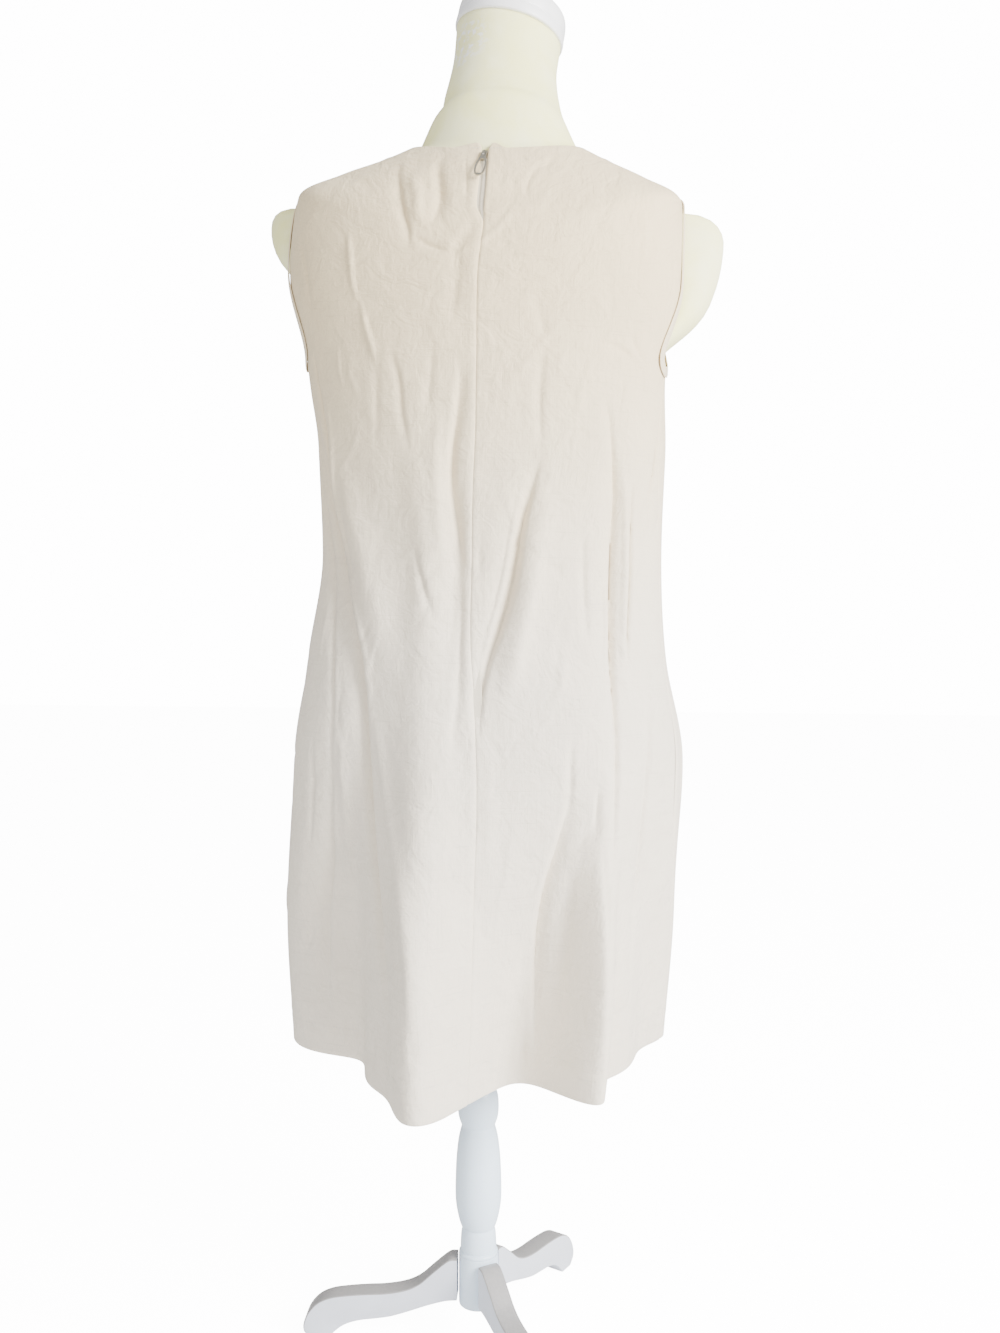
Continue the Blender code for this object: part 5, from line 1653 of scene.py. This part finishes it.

# %% [markdown]
# ## Which body each piece rides on
#
# Every new piece rides on the body of the solids that it stands for. Cloth hardly stretches, and each
# panel prints its area when it is made.

# %% Ride
for made in list(bpy.context.scene.objects):
    if made.type == "MESH" and made.parent is None and made.name not in frame["nodes"]:
        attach(made, BODY)

# %% [markdown]
# ## Floor, light and camera
#
# A pale floor and a pale surround stand for the white page. The photo's light comes from the viewer's
# right and a little from above, and leaves the far left of the skirt in soft shade, so one large soft
# light stands there and a weak one opposite. The camera looks at the back, turned 8 degrees, from
# 1.2 metres, as the photo's perspective shows.

# %% Stage
VIEW_TURN = math.radians(8.0)
TOWARD = np.array([-math.sin(VIEW_TURN), math.cos(VIEW_TURN), 0.0])
RIGHT = np.array([-math.cos(VIEW_TURN), -math.sin(VIEW_TURN), 0.0])
FLOOR_GLOW = 13.0
WORLD_LIGHT = 0.85
WORLD_SEEN = 15.0


def floor_finish():
    """A pale matt floor with the faintest mottle."""
    made, tree, shader = new_finish("pale_floor")
    tone = noise(tree, object_map(tree), 3.0, 2.0)
    give(tree, shader, "Base Color", colour_pair(tree, tone, (0.86, 0.86, 0.86), (0.88, 0.88, 0.88)))
    give(tree, shader, "Roughness", 0.9)
    give(tree, shader, "Emission Color", (1.0, 1.0, 1.0, 1.0))
    seen = tree.nodes.new("ShaderNodeLightPath").outputs["Is Camera Ray"]
    give(tree, shader, "Emission Strength", times(tree, seen, FLOOR_GLOW))
    return made


def make_floor():
    side = np.linspace(-8.0, 8.0, 17)
    x, y = np.meshgrid(side, side)
    points = np.stack([x, y, np.zeros_like(x)], axis=-1).reshape(-1, 3)
    made = piece("floor", points, [grid_quads(17, 17)], floor_finish())


def above(toward, right, height):
    """A point so far from the column towards the viewer, to the viewer's right, and up."""
    return AXIS + toward * TOWARD + right * RIGHT + np.array([0.0, 0.0, height])


def soft_light(name, place_at, size, power, colour):
    """A square area light that looks from its place towards the dress."""
    data = bpy.data.lights.new(name, "AREA")
    data.shape = "SQUARE"
    data.size = size
    data.energy = power
    data.color = colour
    made = bpy.data.objects.new(name, data)
    made.location = place_at
    made.rotation_euler = Vector(AIM - place_at).to_track_quat("-Z", "Y").to_euler()
    bpy.context.scene.collection.objects.link(made)


make_floor()
AIM = above(0.0, 0.0, 0.75)
soft_light("key", above(1.7, 2.1, 1.7), 1.4, 310.0, (1.0, 0.99, 0.97))
soft_light("fill", above(2.6, -1.5, 1.2), 2.2, 36.0, (0.97, 0.98, 1.0))
world = bpy.data.worlds.new("pale_surround")
world.use_nodes = True
surround = world.node_tree
seen = surround.nodes.new("ShaderNodeLightPath").outputs["Is Camera Ray"]
strength = maths(surround, "MULTIPLY_ADD", seen, WORLD_SEEN - WORLD_LIGHT, WORLD_LIGHT)
surround.nodes["Background"].inputs["Color"].default_value = (1.0, 1.0, 1.0, 1.0)
fill(surround, surround.nodes["Background"].inputs["Strength"], strength)
bpy.context.scene.world = world

# %% [markdown]
# ## The camera
#
# The lens and the distance decide how strongly near things grow. The photo shows the hem from above
# and the neck from below, which sets the camera's height, and the dress fills the same part of the
# frame from 1.2 metres.

# %% Camera
CAMERA_FAR = 1.2
CAMERA_SIDE = 0.022
CAMERA_Z = 0.742
CAMERA_PITCH = 2.5

camera_data = bpy.data.cameras.new("photo view")
camera_data.sensor_fit = "HORIZONTAL"
camera_data.sensor_width = 36.0
camera_data.lens = 43.2
camera = bpy.data.objects.new("photo view", camera_data)
camera.location = above(CAMERA_FAR, CAMERA_SIDE, CAMERA_Z)
camera.rotation_euler = (math.radians(90.0 - CAMERA_PITCH), 0.0, math.pi + VIEW_TURN)
bpy.context.scene.collection.objects.link(camera)
bpy.context.scene.camera = camera
print("camera at", np.array(camera.location).round(3))
